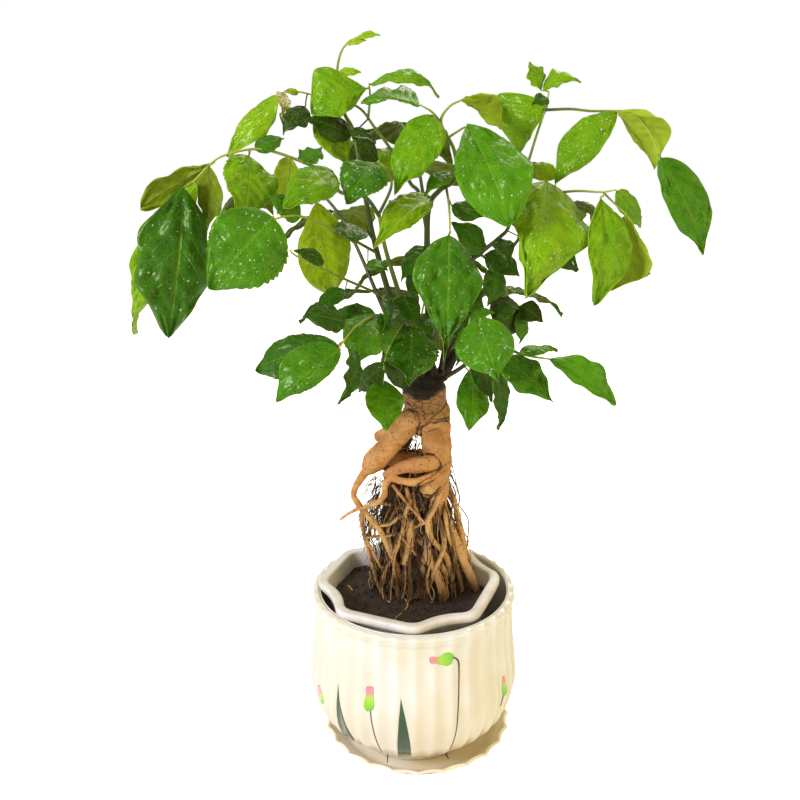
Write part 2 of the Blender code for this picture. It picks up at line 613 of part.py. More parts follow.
# Leafy stems on the far side. Each has a path from the trunk's top in millimetres, and pairs of leaflets
# by rule.
BACK_STEMS = {
    "leafy_stem_back_left": [
        (-3, 14, 290), (-22, 42, 330), (-55, 84, 392),
        (-92, 112, 420), (-118, 120, 414),
    ],
    "leafy_stem_back_middle": [
        (6, 17, 292), (12, 52, 350), (4, 98, 425),
        (-10, 132, 456), (-24, 150, 452),
    ],
    "leafy_stem_back_right": [
        (17, 13, 291), (44, 44, 332), (86, 80, 384),
        (122, 98, 400), (144, 100, 392),
    ],
    "leafy_stem_back_low": [(8, 19, 287), (14, 54, 304), (20, 94, 316), (18, 126, 306), (10, 146, 292)],
}
BACK_PAIRS = 4
BACK_LENGTH = 62.0
BACK_SEED = 11


def leaf_form(s, widest, blunt):
    """Half the width of a leaflet at this share of its length, from 0 to 1."""
    if not 0 < s < 1:
        return 0.0
    body = math.sin(math.pi * s ** (math.log(0.5) / math.log(widest))) ** (0.85 - 0.35 * blunt)
    tail = min(max((s - 0.66) / 0.26, 0.0), 1.0)
    return body * (1 - 0.42 * (1 - blunt) * tail * tail * (3 - 2 * tail))


def leaf_point(leaf, s, u):
    """A point of the blade: s runs from base to tip and u from one edge to the other, -1 to 1."""
    base, tip, side, up, half, arch, fold, wave, phase, (lean, widest, blunt) = leaf
    length = (tip - base).length
    lift = arch * length * math.sin(math.pi * min(s * 0.94, 1.0))
    reach = half * leaf_form(s, widest, blunt) * (1 + (lean if u > 0 else -lean))
    ripple = wave * half * u * u * math.sin(math.tau * 1.5 * s + phase + (2.2 if u > 0 else 0.0))
    return base.lerp(tip, s) + side * (u * reach) + up * (lift - fold * abs(u) ** 1.4 * reach + ripple)


def leaf_shape(leaf, root, stations, thick_mm):
    """Points and triangles of a thin closed blade whose stalk starts at the root point."""
    base, tip, side, up = leaf[:4]
    columns = [-1.0, 0.0, 1.0]
    rows = []
    if (base - root).length > 4 * MM:
        rows.append([base + side * (u * 0.9 * MM) for u in columns])
    for s in stations:
        rows.append([leaf_point(leaf, s, u) for u in columns])
    sheet = [root]
    for row in rows:
        sheet.extend(row)
    sheet.append(tip)
    count = len(columns)
    triangles = []
    for k in range(count - 1):
        triangles.append((0, 1 + k + 1, 1 + k))
    for r in range(len(rows) - 1):
        low = 1 + r * count
        high = low + count
        for k in range(count - 1):
            if k < (count - 1) / 2:
                triangles.append((low + k, low + k + 1, high + k + 1))
                triangles.append((low + k, high + k + 1, high + k))
            else:
                triangles.append((low + k, low + k + 1, high + k))
                triangles.append((low + k + 1, high + k + 1, high + k))
    last = 1 + (len(rows) - 1) * count
    end = len(sheet) - 1
    for k in range(count - 1):
        triangles.append((last + k, last + k + 1, end))
    normals = [Vector((0.0, 0.0, 0.0)) for _ in sheet]
    for a, b, c in triangles:
        area = (sheet[b] - sheet[a]).cross(sheet[c] - sheet[a])
        for index in (a, b, c):
            normals[index] += area
    half = thick_mm * MM / 2
    points = []
    for point, normal in zip(sheet, normals):
        points.append(point + normal.normalized() * half)
    for point, normal in zip(sheet, normals):
        points.append(point - normal.normalized() * half)
    total = len(sheet)
    faces = list(triangles)
    for a, b, c in triangles:
        faces.append((a + total, c + total, b + total))
    rim = set()
    for a, b, c in triangles:
        for edge in ((a, b), (b, c), (c, a)):
            if (edge[1], edge[0]) in rim:
                rim.discard((edge[1], edge[0]))
            else:
                rim.add(edge)
    for a, b in sorted(rim):
        faces.append((b, a, a + total))
        faces.append((b, a + total, b + total))
    return points, faces


def stations_for(width):
    if width >= 45:
        return LARGE_STATIONS
    return MEDIUM_STATIONS if width >= 30 else SMALL_STATIONS


def nearest_on(line, point):
    """The closest point of the line to this point."""
    best = None
    for a, b in zip(line, line[1:]):
        span = b - a
        share = min(max((point - a).dot(span) / span.length_squared, 0.0), 1.0)
        spot = a + span * share
        if best is None or (spot - point).length < (best - point).length:
            best = spot
    return best


def seen_leaf(row, number, swing_mm):
    """The leaf of this row, with its tip moved along the line of sight by the swing."""
    _, bx, by, b_depth, tx, ty, t_depth, width, turn, arch, (lean, widest, blunt) = row
    base = sight(bx, by, b_depth + swing_mm * 0.15)
    tip = sight(tx, ty, t_depth + swing_mm)
    axis = (tip - base).normalized()
    middle = (base + tip) / 2
    to_eye = EYE - middle
    facing = (to_eye - axis * to_eye.dot(axis)).normalized()
    beside = axis.cross(facing)
    if beside.z + 0.35 * beside.x < 0:
        beside = -beside
    angle = math.radians(turn)
    up = facing * math.cos(angle) + beside * math.sin(angle)
    side = axis.cross(up)
    scale = to_eye.length / EYE_PIXELS
    half = width * scale / 2 / max(abs(math.cos(angle)), 0.35)
    phase = 1.7 * number
    fold = 0.16 + 0.10 * math.sin(2.3 * number)
    shape = (lean if side.x > 0 else -lean, widest, blunt)
    return base, tip, side, up, half, arch, fold, 0.10, phase, shape


def back_leaf(row, number, swing_mm):
    """A leaf of a far stem, with its tip lifted by the swing."""
    base, tip, up_hint, half = row
    tip = tip + Vector((0.0, 0.4, 1.0)) * swing_mm * MM
    axis = (tip - base).normalized()
    up = (up_hint - axis * up_hint.dot(axis)).normalized()
    side = axis.cross(up)
    return base, tip, side, up, half, 0.12, 0.18, 0.10, 1.7 * number, OVAL


def tree_of(shape):
    points, faces = shape
    return BVHTree.FromPolygons([tuple(p) for p in points], faces)


def crossings(tree, node, placed):
    """How badly this blade is in the way: 1 for each blade of its own node, far more for another's piece."""
    score = 0
    for other_node, other, is_stem in placed:
        if other_node == node and is_stem:
            continue
        if tree.overlap(other):
            score += 1 if other_node == node else OTHER_NODE
    return score


SWINGS = [0, 4, -4, 8, -8, 12, -12, 17, -17, 23, -23, 30, -30, 38, -38, 47, -47]
OTHER_NODE = 100
STEM_CLEAR = 0.4


def limb_line(rows, steps, ends_in_soil):
    points = [sight(px, py, depth) for px, py, depth, _ in rows]
    radii = [row[3] for row in rows]
    if ends_in_soil:
        foot = sight_to_height(rows[-1][0], rows[-1][1], SOIL_TOP + 1.5)
        points[-1] = foot
        points.append(foot - Vector((0.0, 0.0, 9.5 * MM)))
        radii.append(radii[-1] * 0.9)
    line = curve_through(points, steps)
    spread = []
    for i in range(len(line)):
        place = i / steps
        low = min(int(place), len(radii) - 1)
        high = min(low + 1, len(radii) - 1)
        spread.append(radii[low] + (radii[high] - radii[low]) * (place - low))
    return line, spread


def make_trunk(lines):
    """The trunk with its roots and with the short stubs that the leafy stems stand on."""
    shapes = []
    cutters = []
    obstacles = []
    crown = sight(*CROWN)
    for stems in lines.values():
        line, radii = stems[0]
        start = line[0] - (line[1] - line[0]).normalized() * STEM_GAP * MM
        below = start - (line[1] - line[0]).normalized() * STUB_LENGTH * MM
        shapes.append(tube_shape([crown, below, start], [radii[0], radii[0] * 1.1, radii[0]], 5, 0.3, 0.0))
    for rows in LIMBS:
        line, radii = limb_line(rows, 1, False)
        shapes.append(tube_shape(line, radii, 8))
        obstacles.append(tube_shape(line, [r + STEM_CLEAR for r in radii], 8))
    for rows in ROOTS:
        line, radii = limb_line(rows, 1, True)
        sides = 5 if max(radii) > 1.9 else 4
        shapes.append(tube_shape(line, radii, sides))
        obstacles.append(tube_shape(line, [r + STEM_CLEAR for r in radii], sides))
        cutters.append(tube_shape(line, [r + HOLE_GAP for r in radii], sides))
    for rows in CROSS_ROOTS:
        line, radii = limb_line(rows, 1, False)
        shapes.append(tube_shape(line, radii, 5))
        obstacles.append(tube_shape(line, [r + STEM_CLEAR for r in radii], 5))
    line, radii = limb_line(CORE, 1, True)
    shapes.append(tube_shape(line, radii, 9))
    cutters.append(tube_shape(line, [r + HOLE_GAP for r in radii], 9))
    rng = random.Random(FINE_ROOT_SEED)
    for index in range(FINE_ROOTS):
        share = (index + 0.5) / FINE_ROOTS
        top = sight(428 + rng.uniform(-3, 3), 488 + 22 * rng.random(), -3 + rng.uniform(-1, 1))
        spread = math.tau * share
        outward = Vector((math.cos(spread), math.sin(spread), 0.0))
        foot = Vector((12.0 + 27.0 * outward.x, 6.0 + 19.0 * outward.y, SOIL_TOP + 1.5)) * MM
        wander = Vector((rng.uniform(-5, 5), rng.uniform(-5, 5), rng.uniform(-4, 4))) * MM
        bulge = top.lerp(foot, 0.45) + (outward * 6.0 + Vector((0.0, 0.0, 6.0))) * MM + wander
        lower = top.lerp(foot, 0.78) + (outward * 4.0 + Vector((0.0, 0.0, 3.0))) * MM
        line = [top, bulge, lower, foot, foot - Vector((0.0, 0.0, 9.5 * MM))]
        radii = taper(len(line), 1.5, 1.0)
        shapes.append(tube_shape(line, radii, 3))
        cutters.append(tube_shape(line, [r + 2 * HOLE_GAP for r in radii], 3))
    return fuse("trunk_and_roots", shapes), cutters, obstacles


def make_soil(plan):
    inner = LINER_RINGS[-2]
    floor = LINER_RINGS[-1]
    rise = (SOIL_TOP - floor[0]) / (inner[0] - floor[0])
    top_share = floor[2] + (inner[2] - floor[2]) * rise
    rings = [(floor[0] + SOIL_GAP, floor[1] - SOIL_GAP, floor[2])]
    rings.append((SOIL_TOP, inner[1] - SOIL_GAP, top_share))
    rings.append((SOIL_TOP + 0.6, -14.0, 0.92))
    rings.append((SOIL_TOP + 1.2, -12.0, 0.62))
    obj = lofted("soil", plan, rings)
    rng = random.Random(3)
    for vert in obj.data.vertices:
        if vert.co.z > (SOIL_TOP + 0.3) * MM:
            vert.co.z += rng.uniform(-0.7, 0.5) * MM
    return obj


def make_stem_lines():
    lines = {}
    for node, paths in STEMS.items():
        lines[node] = []
        for rows, first, last in paths:
            points = [sight(px, py, depth) for px, py, depth in rows]
            line = curve_through(points, 1)
            lines[node].append((line, taper(len(line), first, last)))
    for node, rows in BACK_STEMS.items():
        line = curve_through([Vector(row) * MM for row in rows], 2)
        lines[node] = [(line, taper(len(line), 2.2, 0.8))]
    return lines


def back_rows(line, seed):
    """Pairs of hanging leaflets along the outer part of a far stem, and one at its end."""
    rng = random.Random(seed)
    found = []
    for pair in range(BACK_PAIRS):
        share = 0.30 + 0.66 * pair / (BACK_PAIRS - 1)
        place = share * (len(line) - 1)
        low = min(int(place), len(line) - 2)
        base = line[low].lerp(line[low + 1], place - low)
        along = (line[low + 1] - line[low]).normalized()
        across = along.cross(Vector((0.0, 0.0, 1.0))).normalized()
        for hand in (-1, 1):
            length = BACK_LENGTH * rng.uniform(0.75, 1.15) * MM
            drop = rng.uniform(0.55, 1.0)
            aim = along * rng.uniform(0.2, 0.6) + across * hand * 0.9 + Vector((0.0, 0.0, -drop))
            tip = base + across * hand * 3.0 * MM + aim.normalized() * length
            start = base + across * hand * 3.0 * MM
            found.append((start, tip, Vector((0.0, 0.2, 1.0)) + along * 0.5, length * 0.24))
    ahead = (line[-1] - line[-2]).normalized()
    aim = (ahead + Vector((0.0, 0.0, -0.6))).normalized()
    tip = line[-1] + aim * BACK_LENGTH * MM
    found.append((line[-1], tip, Vector((0.0, 0.0, 1.0)) + ahead * 0.4, BACK_LENGTH * 0.25 * MM))
    return found


def all_leaflets(lines):
    """Every leaflet's node, number and stations, and the function that gives its blade for a swing."""
    found = []
    for number, row in enumerate(LEAFLETS):
        found.append((row[0], number, stations_for(row[7]), partial(seen_leaf, row, number)))
    number = len(LEAFLETS)
    for index, node in enumerate(BACK_STEMS):
        for row in back_rows(lines[node][0][0], BACK_SEED + index):
            found.append((node, number, SMALL_STATIONS, partial(back_leaf, row, number)))
            number += 1
    return found


def clear_blade(node, leaf_at, stations, lines, placed):
    """The blade at the first swing where it touches nothing, or else where it is least in the way."""
    best = None
    for swing in SWINGS:
        leaf = leaf_at(swing)
        spots = [nearest_on(line, leaf[0]) for line, _ in lines[node]]
        root = min(spots, key=lambda spot: (spot - leaf[0]).length)
        tree = tree_of(leaf_shape(leaf, root, stations, LEAF_THICK + 2 * LEAF_CLEAR))
        score = crossings(tree, node, placed)
        if best is None or score < best[0]:
            best = (score, leaf, root, tree)
        if score == 0:
            break
    return best


def make_leafy_stems(lines, obstacles):
    placed = []
    for shape in obstacles:
        placed.append(("trunk_and_roots", tree_of(shape), True))
    shapes = {}
    for node, stems in lines.items():
        shapes[node] = []
        for index, (line, radii) in enumerate(stems):
            sides = 5 if index == 0 else 3
            shapes[node].append(tube_shape(line, radii, sides, 0.3 if index else 0.0))
            wider = [r + STEM_CLEAR for r in radii]
            placed.append((node, tree_of(tube_shape(line, wider, sides)), True))
    for node, number, stations, leaf_at in all_leaflets(lines):
        score, leaf, root, tree = clear_blade(node, leaf_at, stations, lines, placed)
        if score >= OTHER_NODE:
            print("left out:", node, number)
            continue
        placed.append((node, tree, False))
        shapes[node].append(leaf_shape(leaf, root, stations, LEAF_THICK))
    return [fuse(node, found) for node, found in shapes.items()]


clear_scene()
PARTS, TOOLS = make_collections()

pot = spun("pot", POT_PROFILE, POT_SEGMENTS, POT_FLUTES, 0.0)
paint(pot, "pot_glaze", (0.93, 0.90, 0.80), 0.2)

saucer = spun("saucer", SAUCER_PROFILE, SAUCER_SEGMENTS, SAUCER_SCALLOPS, SAUCER_SHIFT)
paint(saucer, "saucer_glaze", (0.92, 0.88, 0.77), 0.2)

PLAN = liner_plan()
liner = lofted("liner", PLAN, LINER_RINGS)
paint(liner, "liner_plastic", (0.62, 0.60, 0.60), 0.45)

STEM_LINES = make_stem_lines()
trunk, root_cutters, trunk_obstacles = make_trunk(STEM_LINES)
paint(trunk, "bark", (0.48, 0.30, 0.15), 0.8)

soil = make_soil(PLAN)
cut_away(soil, root_cutters)
paint(soil, "soil", (0.05, 0.03, 0.02), 0.95)

for leafy in make_leafy_stems(STEM_LINES, trunk_obstacles):
    paint(leafy, leafy.name + "_green", (0.10, 0.30, 0.05), 0.35)

for obj in PARTS.objects:
    smooth(obj)
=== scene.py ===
# %% [markdown]
# # A china doll plant in its fluted pot
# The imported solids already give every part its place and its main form. This lesson dresses them: a glazed pot with
# soft flutes and a few painted buds, a plastic liner, crumbly soil, a knotted trunk with raised roots, and glossy
# compound leaves. Everything is in metres, in the frame of the solids, so nothing has to be fitted afterwards.

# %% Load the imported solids
import math
import random

import bmesh
import bpy
from mathutils import Matrix, Vector, noise
from mathutils.bvhtree import BVHTree


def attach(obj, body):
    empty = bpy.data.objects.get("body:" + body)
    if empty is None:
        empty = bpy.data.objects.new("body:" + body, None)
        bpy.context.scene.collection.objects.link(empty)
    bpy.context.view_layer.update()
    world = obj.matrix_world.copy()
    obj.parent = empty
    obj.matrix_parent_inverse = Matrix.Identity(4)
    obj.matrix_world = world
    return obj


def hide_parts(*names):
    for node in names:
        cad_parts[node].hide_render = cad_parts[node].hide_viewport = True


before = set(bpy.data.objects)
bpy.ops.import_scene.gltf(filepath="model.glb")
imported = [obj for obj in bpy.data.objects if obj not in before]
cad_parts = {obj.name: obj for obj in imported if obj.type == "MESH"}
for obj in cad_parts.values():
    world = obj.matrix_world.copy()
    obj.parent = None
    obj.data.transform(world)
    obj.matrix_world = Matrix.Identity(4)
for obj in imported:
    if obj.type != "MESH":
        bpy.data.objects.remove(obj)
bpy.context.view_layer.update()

MM = 0.001

# %% [markdown]
# ## Camera
# The plant was drawn from one standpoint, a little above the pot and close to it. The camera is put at that standpoint
# first, because stems, leaves and painted buds are all placed by where they are seen from there.

# %% Camera and the line of sight
EYE = Vector((-0.0101, -0.640, 0.485))
EYE_TILT = math.radians(18.2)
EYE_PIXELS = 960.0
FRAME_CENTRE = 400.0
SENSOR = 36.0

camera_data = bpy.data.cameras.new("camera")
camera_data.sensor_width = SENSOR
camera_data.lens = SENSOR * EYE_PIXELS / (2 * FRAME_CENTRE)
camera = bpy.data.objects.new("camera", camera_data)
camera.location = EYE
camera.rotation_euler = (math.radians(90) - EYE_TILT, 0.0, 0.0)
bpy.context.scene.collection.objects.link(camera)
bpy.context.scene.camera = camera


def sight_line(px, py):
    """The direction in which the eye sees this pixel."""
    right = (px - FRAME_CENTRE) / EYE_PIXELS
    up = (FRAME_CENTRE - py) / EYE_PIXELS
    along = math.cos(EYE_TILT) + up * math.sin(EYE_TILT)
    lift = up * math.cos(EYE_TILT) - math.sin(EYE_TILT)
    return Vector((right, along, lift))


def sight(px, py, depth_mm):
    """The point seen at this pixel, at this distance behind the pot's axis."""
    ray = sight_line(px, py)
    return EYE + ray * ((depth_mm * MM - EYE.y) / ray.y)


def sight_to_height(px, py, height_mm):
    """The point seen at this pixel, at this height."""
    ray = sight_line(px, py)
    return EYE + ray * ((height_mm * MM - EYE.z) / ray.z)


print("lens:", round(camera_data.lens, 1), "mm")

# %% [markdown]
# ## Tools for the mesh work
# Most pieces here are skins: a lathe body, a blade, a round stem. Each can start as a flat grid whose points are then
# carried to their places by a rule. The grid keeps its own UV map, so a pattern can follow a leaf or a stem later.
# A closed tube comes from the same grid, because its two long sides meet and are merged.

# %% Grid, tube and object helpers
def carried_grid(bm, across, along, place):
    """A grid whose point in column k and row i is carried to place(k, i)."""
    made = bmesh.ops.create_grid(bm, x_segments=across, y_segments=along, size=1.0, calc_uvs=True)
    for vert in made["verts"]:
        k = round((vert.co.x + 1) / 2 * across)
        i = round((vert.co.y + 1) / 2 * along)
        vert.co = place(k, i)
    return made["verts"]


def new_bmesh():
    """An empty bmesh with a UV map and a number per point, called tone, that materials read."""
    bm = bmesh.new()
    bm.loops.layers.uv.new("UVMap")
    bm.verts.layers.float.new("tone")
    return bm


def set_tone(bm, verts, value):
    layer = bm.verts.layers.float["tone"]
    for vert in verts:
        vert[layer] = value(vert) if callable(value) else value


def pour(small, bm):
    """Adds a small mesh to a large one. To shape each tube or blade on its own first is much quicker."""
    mesh = bpy.data.meshes.new("small")
    small.to_mesh(mesh)
    small.free()
    bm.from_mesh(mesh)
    bpy.data.meshes.remove(mesh)


def finish_piece(name, bm, materials, slot, *nodes):
    """Makes the object with its materials, smooths it, and says what it rides on and what it replaces. The slot is not
    used.
    """
    mesh = bpy.data.meshes.new(name)
    bm.to_mesh(mesh)
    bm.free()
    obj = bpy.data.objects.new(name, mesh)
    bpy.context.scene.collection.objects.link(obj)
    for material in materials:
        mesh.materials.append(material)
    mesh.shade_smooth()
    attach(obj, "root")
    if nodes:
        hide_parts(*nodes)
    triangles = sum(len(face.vertices) - 2 for face in mesh.polygons)
    print(name, "has", triangles, "triangles")
    return obj


def applied(obj):
    """The object's mesh with its modifiers in it."""
    bpy.context.view_layer.update()
    graph = bpy.context.evaluated_depsgraph_get()
    done = bpy.data.meshes.new_from_object(obj.evaluated_get(graph))
    obj.modifiers.clear()
    old = obj.data
    obj.data = done
    bpy.data.meshes.remove(old)
    return obj


def curve_through(points, steps):
    """A smooth line through the points, with this many steps between each two."""
    line = []
    for i in range(len(points) - 1):
        before = points[max(i - 1, 0)]
        start = points[i]
        end = points[i + 1]
        after = points[min(i + 2, len(points) - 1)]
        for step in range(steps):
            t = step / steps
            line.append(
                0.5
                * (
                    2 * start
                    + (end - before) * t
                    + (2 * before - 5 * start + 4 * end - after) * t * t
                    + (3 * start - before - 3 * end + after) * t * t * t
                )
            )
    line.append(points[-1])
    return line


def add_tube(bm, line, radii_mm, sides, tone=0.5, material=0):
    """A round stem along the line. Its ends close with two small rings and a point."""
    centres = [line[0]] * 2 + list(line) + [line[-1]] * 2
    sizes = [0.0, 0.7] + [1.0] * len(line) + [0.7, 0.0]
    radii = [radii_mm[0]] * 2 + list(radii_mm) + [radii_mm[-1]] * 2
    shift = [-0.6, -0.4] + [0.0] * len(line) + [0.4, 0.6]
    axes = []
    for i in range(len(line)):
        axes.append((line[min(i + 1, len(line) - 1)] - line[max(i - 1, 0)]).normalized())
    axes = [axes[0]] * 2 + axes + [axes[-1]] * 2
    frames = []
    across = axes[0].orthogonal().normalized()
    for axis in axes:
        across = (across - axis * across.dot(axis)).normalized()
        frames.append((across.copy(), axis.cross(across)))

    def place(k, i):
        turn = -math.tau * k / sides
        one, other = frames[i]
        reach = radii[i] * sizes[i] * MM
        return centres[i] + axes[i] * shift[i] * radii[i] * MM + (one * math.cos(turn) + other * math.sin(turn)) * reach

    tube = new_bmesh()
    verts = carried_grid(tube, sides, len(centres) - 1, place)
    layer = tube.verts.layers.float["tone"]
    for number, vert in enumerate(verts):
        share = (number // (sides + 1)) / (len(centres) - 1)
        vert[layer] = tone(share) if callable(tone) else tone
    for face in tube.faces:
        face.material_index = material
    bmesh.ops.remove_doubles(tube, verts=tube.verts, dist=1e-7)
    pour(tube, bm)


def linear(red, green, blue):
    """A colour given in everyday 0 to 255 numbers, as Blender's shaders take it."""
    parts = []
    for value in (red, green, blue):
        share = value / 255
        parts.append(share / 12.92 if share <= 0.04045 else ((share + 0.055) / 1.055) ** 2.4)
    return (*parts, 1.0)


# %% [markdown]
# ## Tools for the materials
# All finishes are built from nodes. These two helpers keep the cells short: one adds a node and wires its inputs, and
# the other adds a bit of arithmetic. A colour ramp is made from a list of stops.

# %% Node helpers
def add_node(tree, kind, inputs=None, **settings):
    """A node with its settings. An input is a plain value or another node's socket."""
    made = tree.nodes.new(kind)
    for name, value in settings.items():
        setattr(made, name, value)
    for name, value in (inputs or {}).items():
        if isinstance(value, bpy.types.NodeSocket):
            tree.links.new(value, made.inputs[name])
        else:
            made.inputs[name].default_value = value
    return made


def calc(tree, operation, first, second=0.0, third=0.0):
    """One step of arithmetic, as a socket."""
    return add_node(tree, "ShaderNodeMath", {0: first, 1: second, 2: third}, operation=operation).outputs[0]


def between(tree, value, low, high):
    """0 below low, 1 above high, and a smooth rise between."""
    made = add_node(
        tree,
        "ShaderNodeMapRange",
        {"Value": value, "From Min": low, "From Max": high},
        interpolation_type="SMOOTHSTEP",
    )
    return made.outputs["Result"]


def ramp(tree, value, stops):
    """A colour for each value, from stops of place and colour."""
    made = add_node(tree, "ShaderNodeValToRGB", {"Fac": value})
    elements = made.color_ramp.elements
    while len(elements) < len(stops):
        elements.new(1.0)
    for element, (place, colour) in zip(elements, stops):
        element.position = place
        element.color = colour
    return made.outputs["Color"]


def mixed(tree, share, first, second, blend="MIX"):
    """Two colours mixed by a share."""
    made = add_node(tree, "ShaderNodeMix", data_type="RGBA", blend_type=blend)
    for name, value in (("Factor", share), ("A", first), ("B", second)):
        wanted = "RGBA" if name in "AB" else "VALUE"
        socket = next(s for s in made.inputs if s.name == name and s.type == wanted)
        if isinstance(value, bpy.types.NodeSocket):
            tree.links.new(value, socket)
        else:
            socket.default_value = value
    return next(s for s in made.outputs if s.type == "RGBA")


def bumped(tree, height, strength, distance_mm):
    return add_node(
        tree,
        "ShaderNodeBump",
        {"Height": height, "Strength": strength, "Distance": distance_mm * MM},
    ).outputs["Normal"]


def new_material(name):
    """A material with its Principled shader, and its node tree."""
    material = bpy.data.materials.new(name)
    material.use_nodes = True
    tree = material.node_tree
    return material, tree, tree.nodes["Principled BSDF"]


def set_shader(tree, shader, values):
    for name, value in values.items():
        if isinstance(value, bpy.types.NodeSocket):
            tree.links.new(value, shader.inputs[name])
        else:
            shader.inputs[name].default_value = value


def object_place(tree):
    """A point's place on the object, in metres."""
    return add_node(tree, "ShaderNodeTexCoord").outputs["Object"]


def noise_of(tree, vector, scale, detail=3.0, roughness=0.5):
    return add_node(
        tree,
        "ShaderNodeTexNoise",
        {"Vector": vector, "Scale": scale, "Detail": detail, "Roughness": roughness},
    ).outputs["Fac"]


def start_group(name, inputs, outputs):
    """A node group with named inputs and outputs, each a pair of name and socket type."""
    group = bpy.data.node_groups.new(name, "ShaderNodeTree")
    for label, kind in inputs:
        group.interface.new_socket(name=label, in_out="INPUT", socket_type=kind)
    for label, kind in outputs:
        group.interface.new_socket(name=label, in_out="OUTPUT", socket_type=kind)
    return group, group.nodes.new("NodeGroupInput"), group.nodes.new("NodeGroupOutput")


def stretched(tree, vector, scale):
    """The place with each axis scaled, for a pattern that is longer one way."""
    return add_node(tree, "ShaderNodeMapping", {"Vector": vector, "Scale": scale}).outputs["Vector"]

# %% [markdown]
# ## Glaze
# The pot and the saucer are glazed stoneware: a warm cream under a clear, glossy coat, with faint cloudy patches and
# tiny specks where the glaze ran thin. One group makes the cloudiness, so both pieces share it, and each places it in
# its own material. The glossy layer is the shader's coat, which reflects the soft lights like real glaze does.

# %% Glaze materials
glaze_group, glaze_in, glaze_out = start_group(
    "glaze_clouds",
    [("Place", "NodeSocketVector")],
    [("Clouds", "NodeSocketFloat"), ("Specks", "NodeSocketFloat"), ("Height", "NodeSocketFloat")],
)
clouds = noise_of(glaze_group, glaze_in.outputs["Place"], 28.0, 4.0)
speckle = add_node(glaze_group, "ShaderNodeTexVoronoi", {"Vector": glaze_in.outputs["Place"], "Scale": 420.0})
specks = calc(glaze_group, "SUBTRACT", 1.0, between(glaze_group, speckle.outputs["Distance"], 0.03, 0.11))
rare = between(glaze_group, noise_of(glaze_group, glaze_in.outputs["Place"], 130.0, 1.0), 0.60, 0.70)
orange_peel = noise_of(glaze_group, glaze_in.outputs["Place"], 260.0, 2.0)
glaze_group.links.new(clouds, glaze_out.inputs["Clouds"])
glaze_group.links.new(calc(glaze_group, "MULTIPLY", specks, rare), glaze_out.inputs["Specks"])
glaze_group.links.new(orange_peel, glaze_out.inputs["Height"])

GLAZE_LIGHT = linear(240, 240, 237)
GLAZE_WARM = linear(236, 230, 213)
GLAZE_SPECK = linear(196, 170, 128)
FLUTE_SHADE = linear(214, 196, 156)
GLAZE_FOOT_SHADE = linear(232, 208, 158)


def glaze(name, light, warm, foot_shade_share):
    """Glaze that is painted darker in the hollows, by the tone of each point, and towards the foot: both are painted
    shade.
    """
    material, tree, shader = new_material(name)
    group = add_node(tree, "ShaderNodeGroup", node_tree=glaze_group)
    tree.links.new(object_place(tree), group.inputs["Place"])
    base = mixed(tree, between(tree, group.outputs["Clouds"], 0.30, 0.62), light, warm)
    hollow = add_node(tree, "ShaderNodeAttribute", attribute_name="tone").outputs["Fac"]
    # Painted shade in the flute hollows, and the painted shadow on the saucer's floor.
    base = mixed(tree, calc(tree, "MULTIPLY", hollow, 0.30), base, FLUTE_SHADE)
    height = add_node(tree, "ShaderNodeSeparateXYZ", {"Vector": object_place(tree)}).outputs["Z"]
    # Painted shade, growing towards the foot of the pot.
    base = mixed(tree, calc(tree, "MULTIPLY", between(tree, height, 0.105, 0.020), foot_shade_share), base, GLAZE_FOOT_SHADE)
    base = mixed(tree, calc(tree, "MULTIPLY", group.outputs["Specks"], 0.6), base, GLAZE_SPECK)
    rough = calc(tree, "MULTIPLY_ADD", group.outputs["Clouds"], 0.14, 0.17)
    set_shader(
        tree,
        shader,
        {
            "Base Color": base,
            "Roughness": rough,
            "Normal": bumped(tree, group.outputs["Height"], 0.10, 0.25),
            "Coat Weight": 0.6,
            "Coat Roughness": 0.06,
            "IOR": 1.5,
        },
    )
    return material


pot_glaze = glaze("pot_glaze", GLAZE_LIGHT, GLAZE_WARM, 0.35)
saucer_glaze = glaze("saucer_glaze", linear(247, 243, 229), linear(241, 230, 203), 0.0)

# %% [markdown]
# ## Pot
# A fluted pot is a turned body whose wall was pressed into shallow upright hollows. So the profile is spun first, as a
# potter would throw it, and then each point is drawn inwards by the flute it lies in. The flutes die away below the
# lip and above the foot in little arches, and the lip keeps a trace of them.

# %% Pot profile and flutes
POT_FLUTES = 36
POT_STEPS = 432
POT_OUTSIDE = [
    (8.3, 46.0),
    (14.0, 51.5),
    (31.0, 69.3),
    (46.0, 76.0),
    (63.0, 78.4),
    (93.0, 75.4),
    (117.5, 74.0),
    (122.0, 74.7),
    (126.2, 75.5),
    (128.6, 74.9),
    (129.3, 73.2),
    (129.1, 71.2),
    (127.6, 70.2),
    (122.0, 69.4),
    (50.0, 71.0),
    (24.0, 54.0),
    (18.0, 46.0),
]
FLUTE_DEPTH = [(8.3, 0.0), (14.0, 0.6), (22.0, 1.2), (31.0, 1.4), (63.0, 1.3), (93.0, 1.1), (112.0, 1.1), (129.3, 1.0)]
FLUTE_FOOT = 13.0
FLUTE_HEAD = 126.6
ARCH_HEIGHT = 1.8
RIDGE_SOFT = 0.30
LIP_DIP = 0.9


def from_table(table, place):
    """The value at this place, on straight lines between the rows of the table."""
    for (low, first), (high, second) in zip(table, table[1:]):
        if place <= high:
            return first + (second - first) * min(max((place - low) / (high - low), 0.0), 1.0)
    return table[-1][1]


def eased(value):
    value = min(max(value, 0.0), 1.0)
    return value * value * (3 - 2 * value)


def profile_chain(bm, rows, steps):
    """A smooth chain of edges through the rows of height and radius, from the axis and back to it."""
    points = curve_through([Vector((radius, 0.0, height)) * MM for height, radius in rows], steps)
    points = [Vector((0.0, 0.0, points[0].z))] + points + [Vector((0.0, 0.0, points[-1].z))]
    verts = [bm.verts.new(point) for point in points]
    edges = [bm.edges.new(pair) for pair in zip(verts, verts[1:])]
    return verts + edges


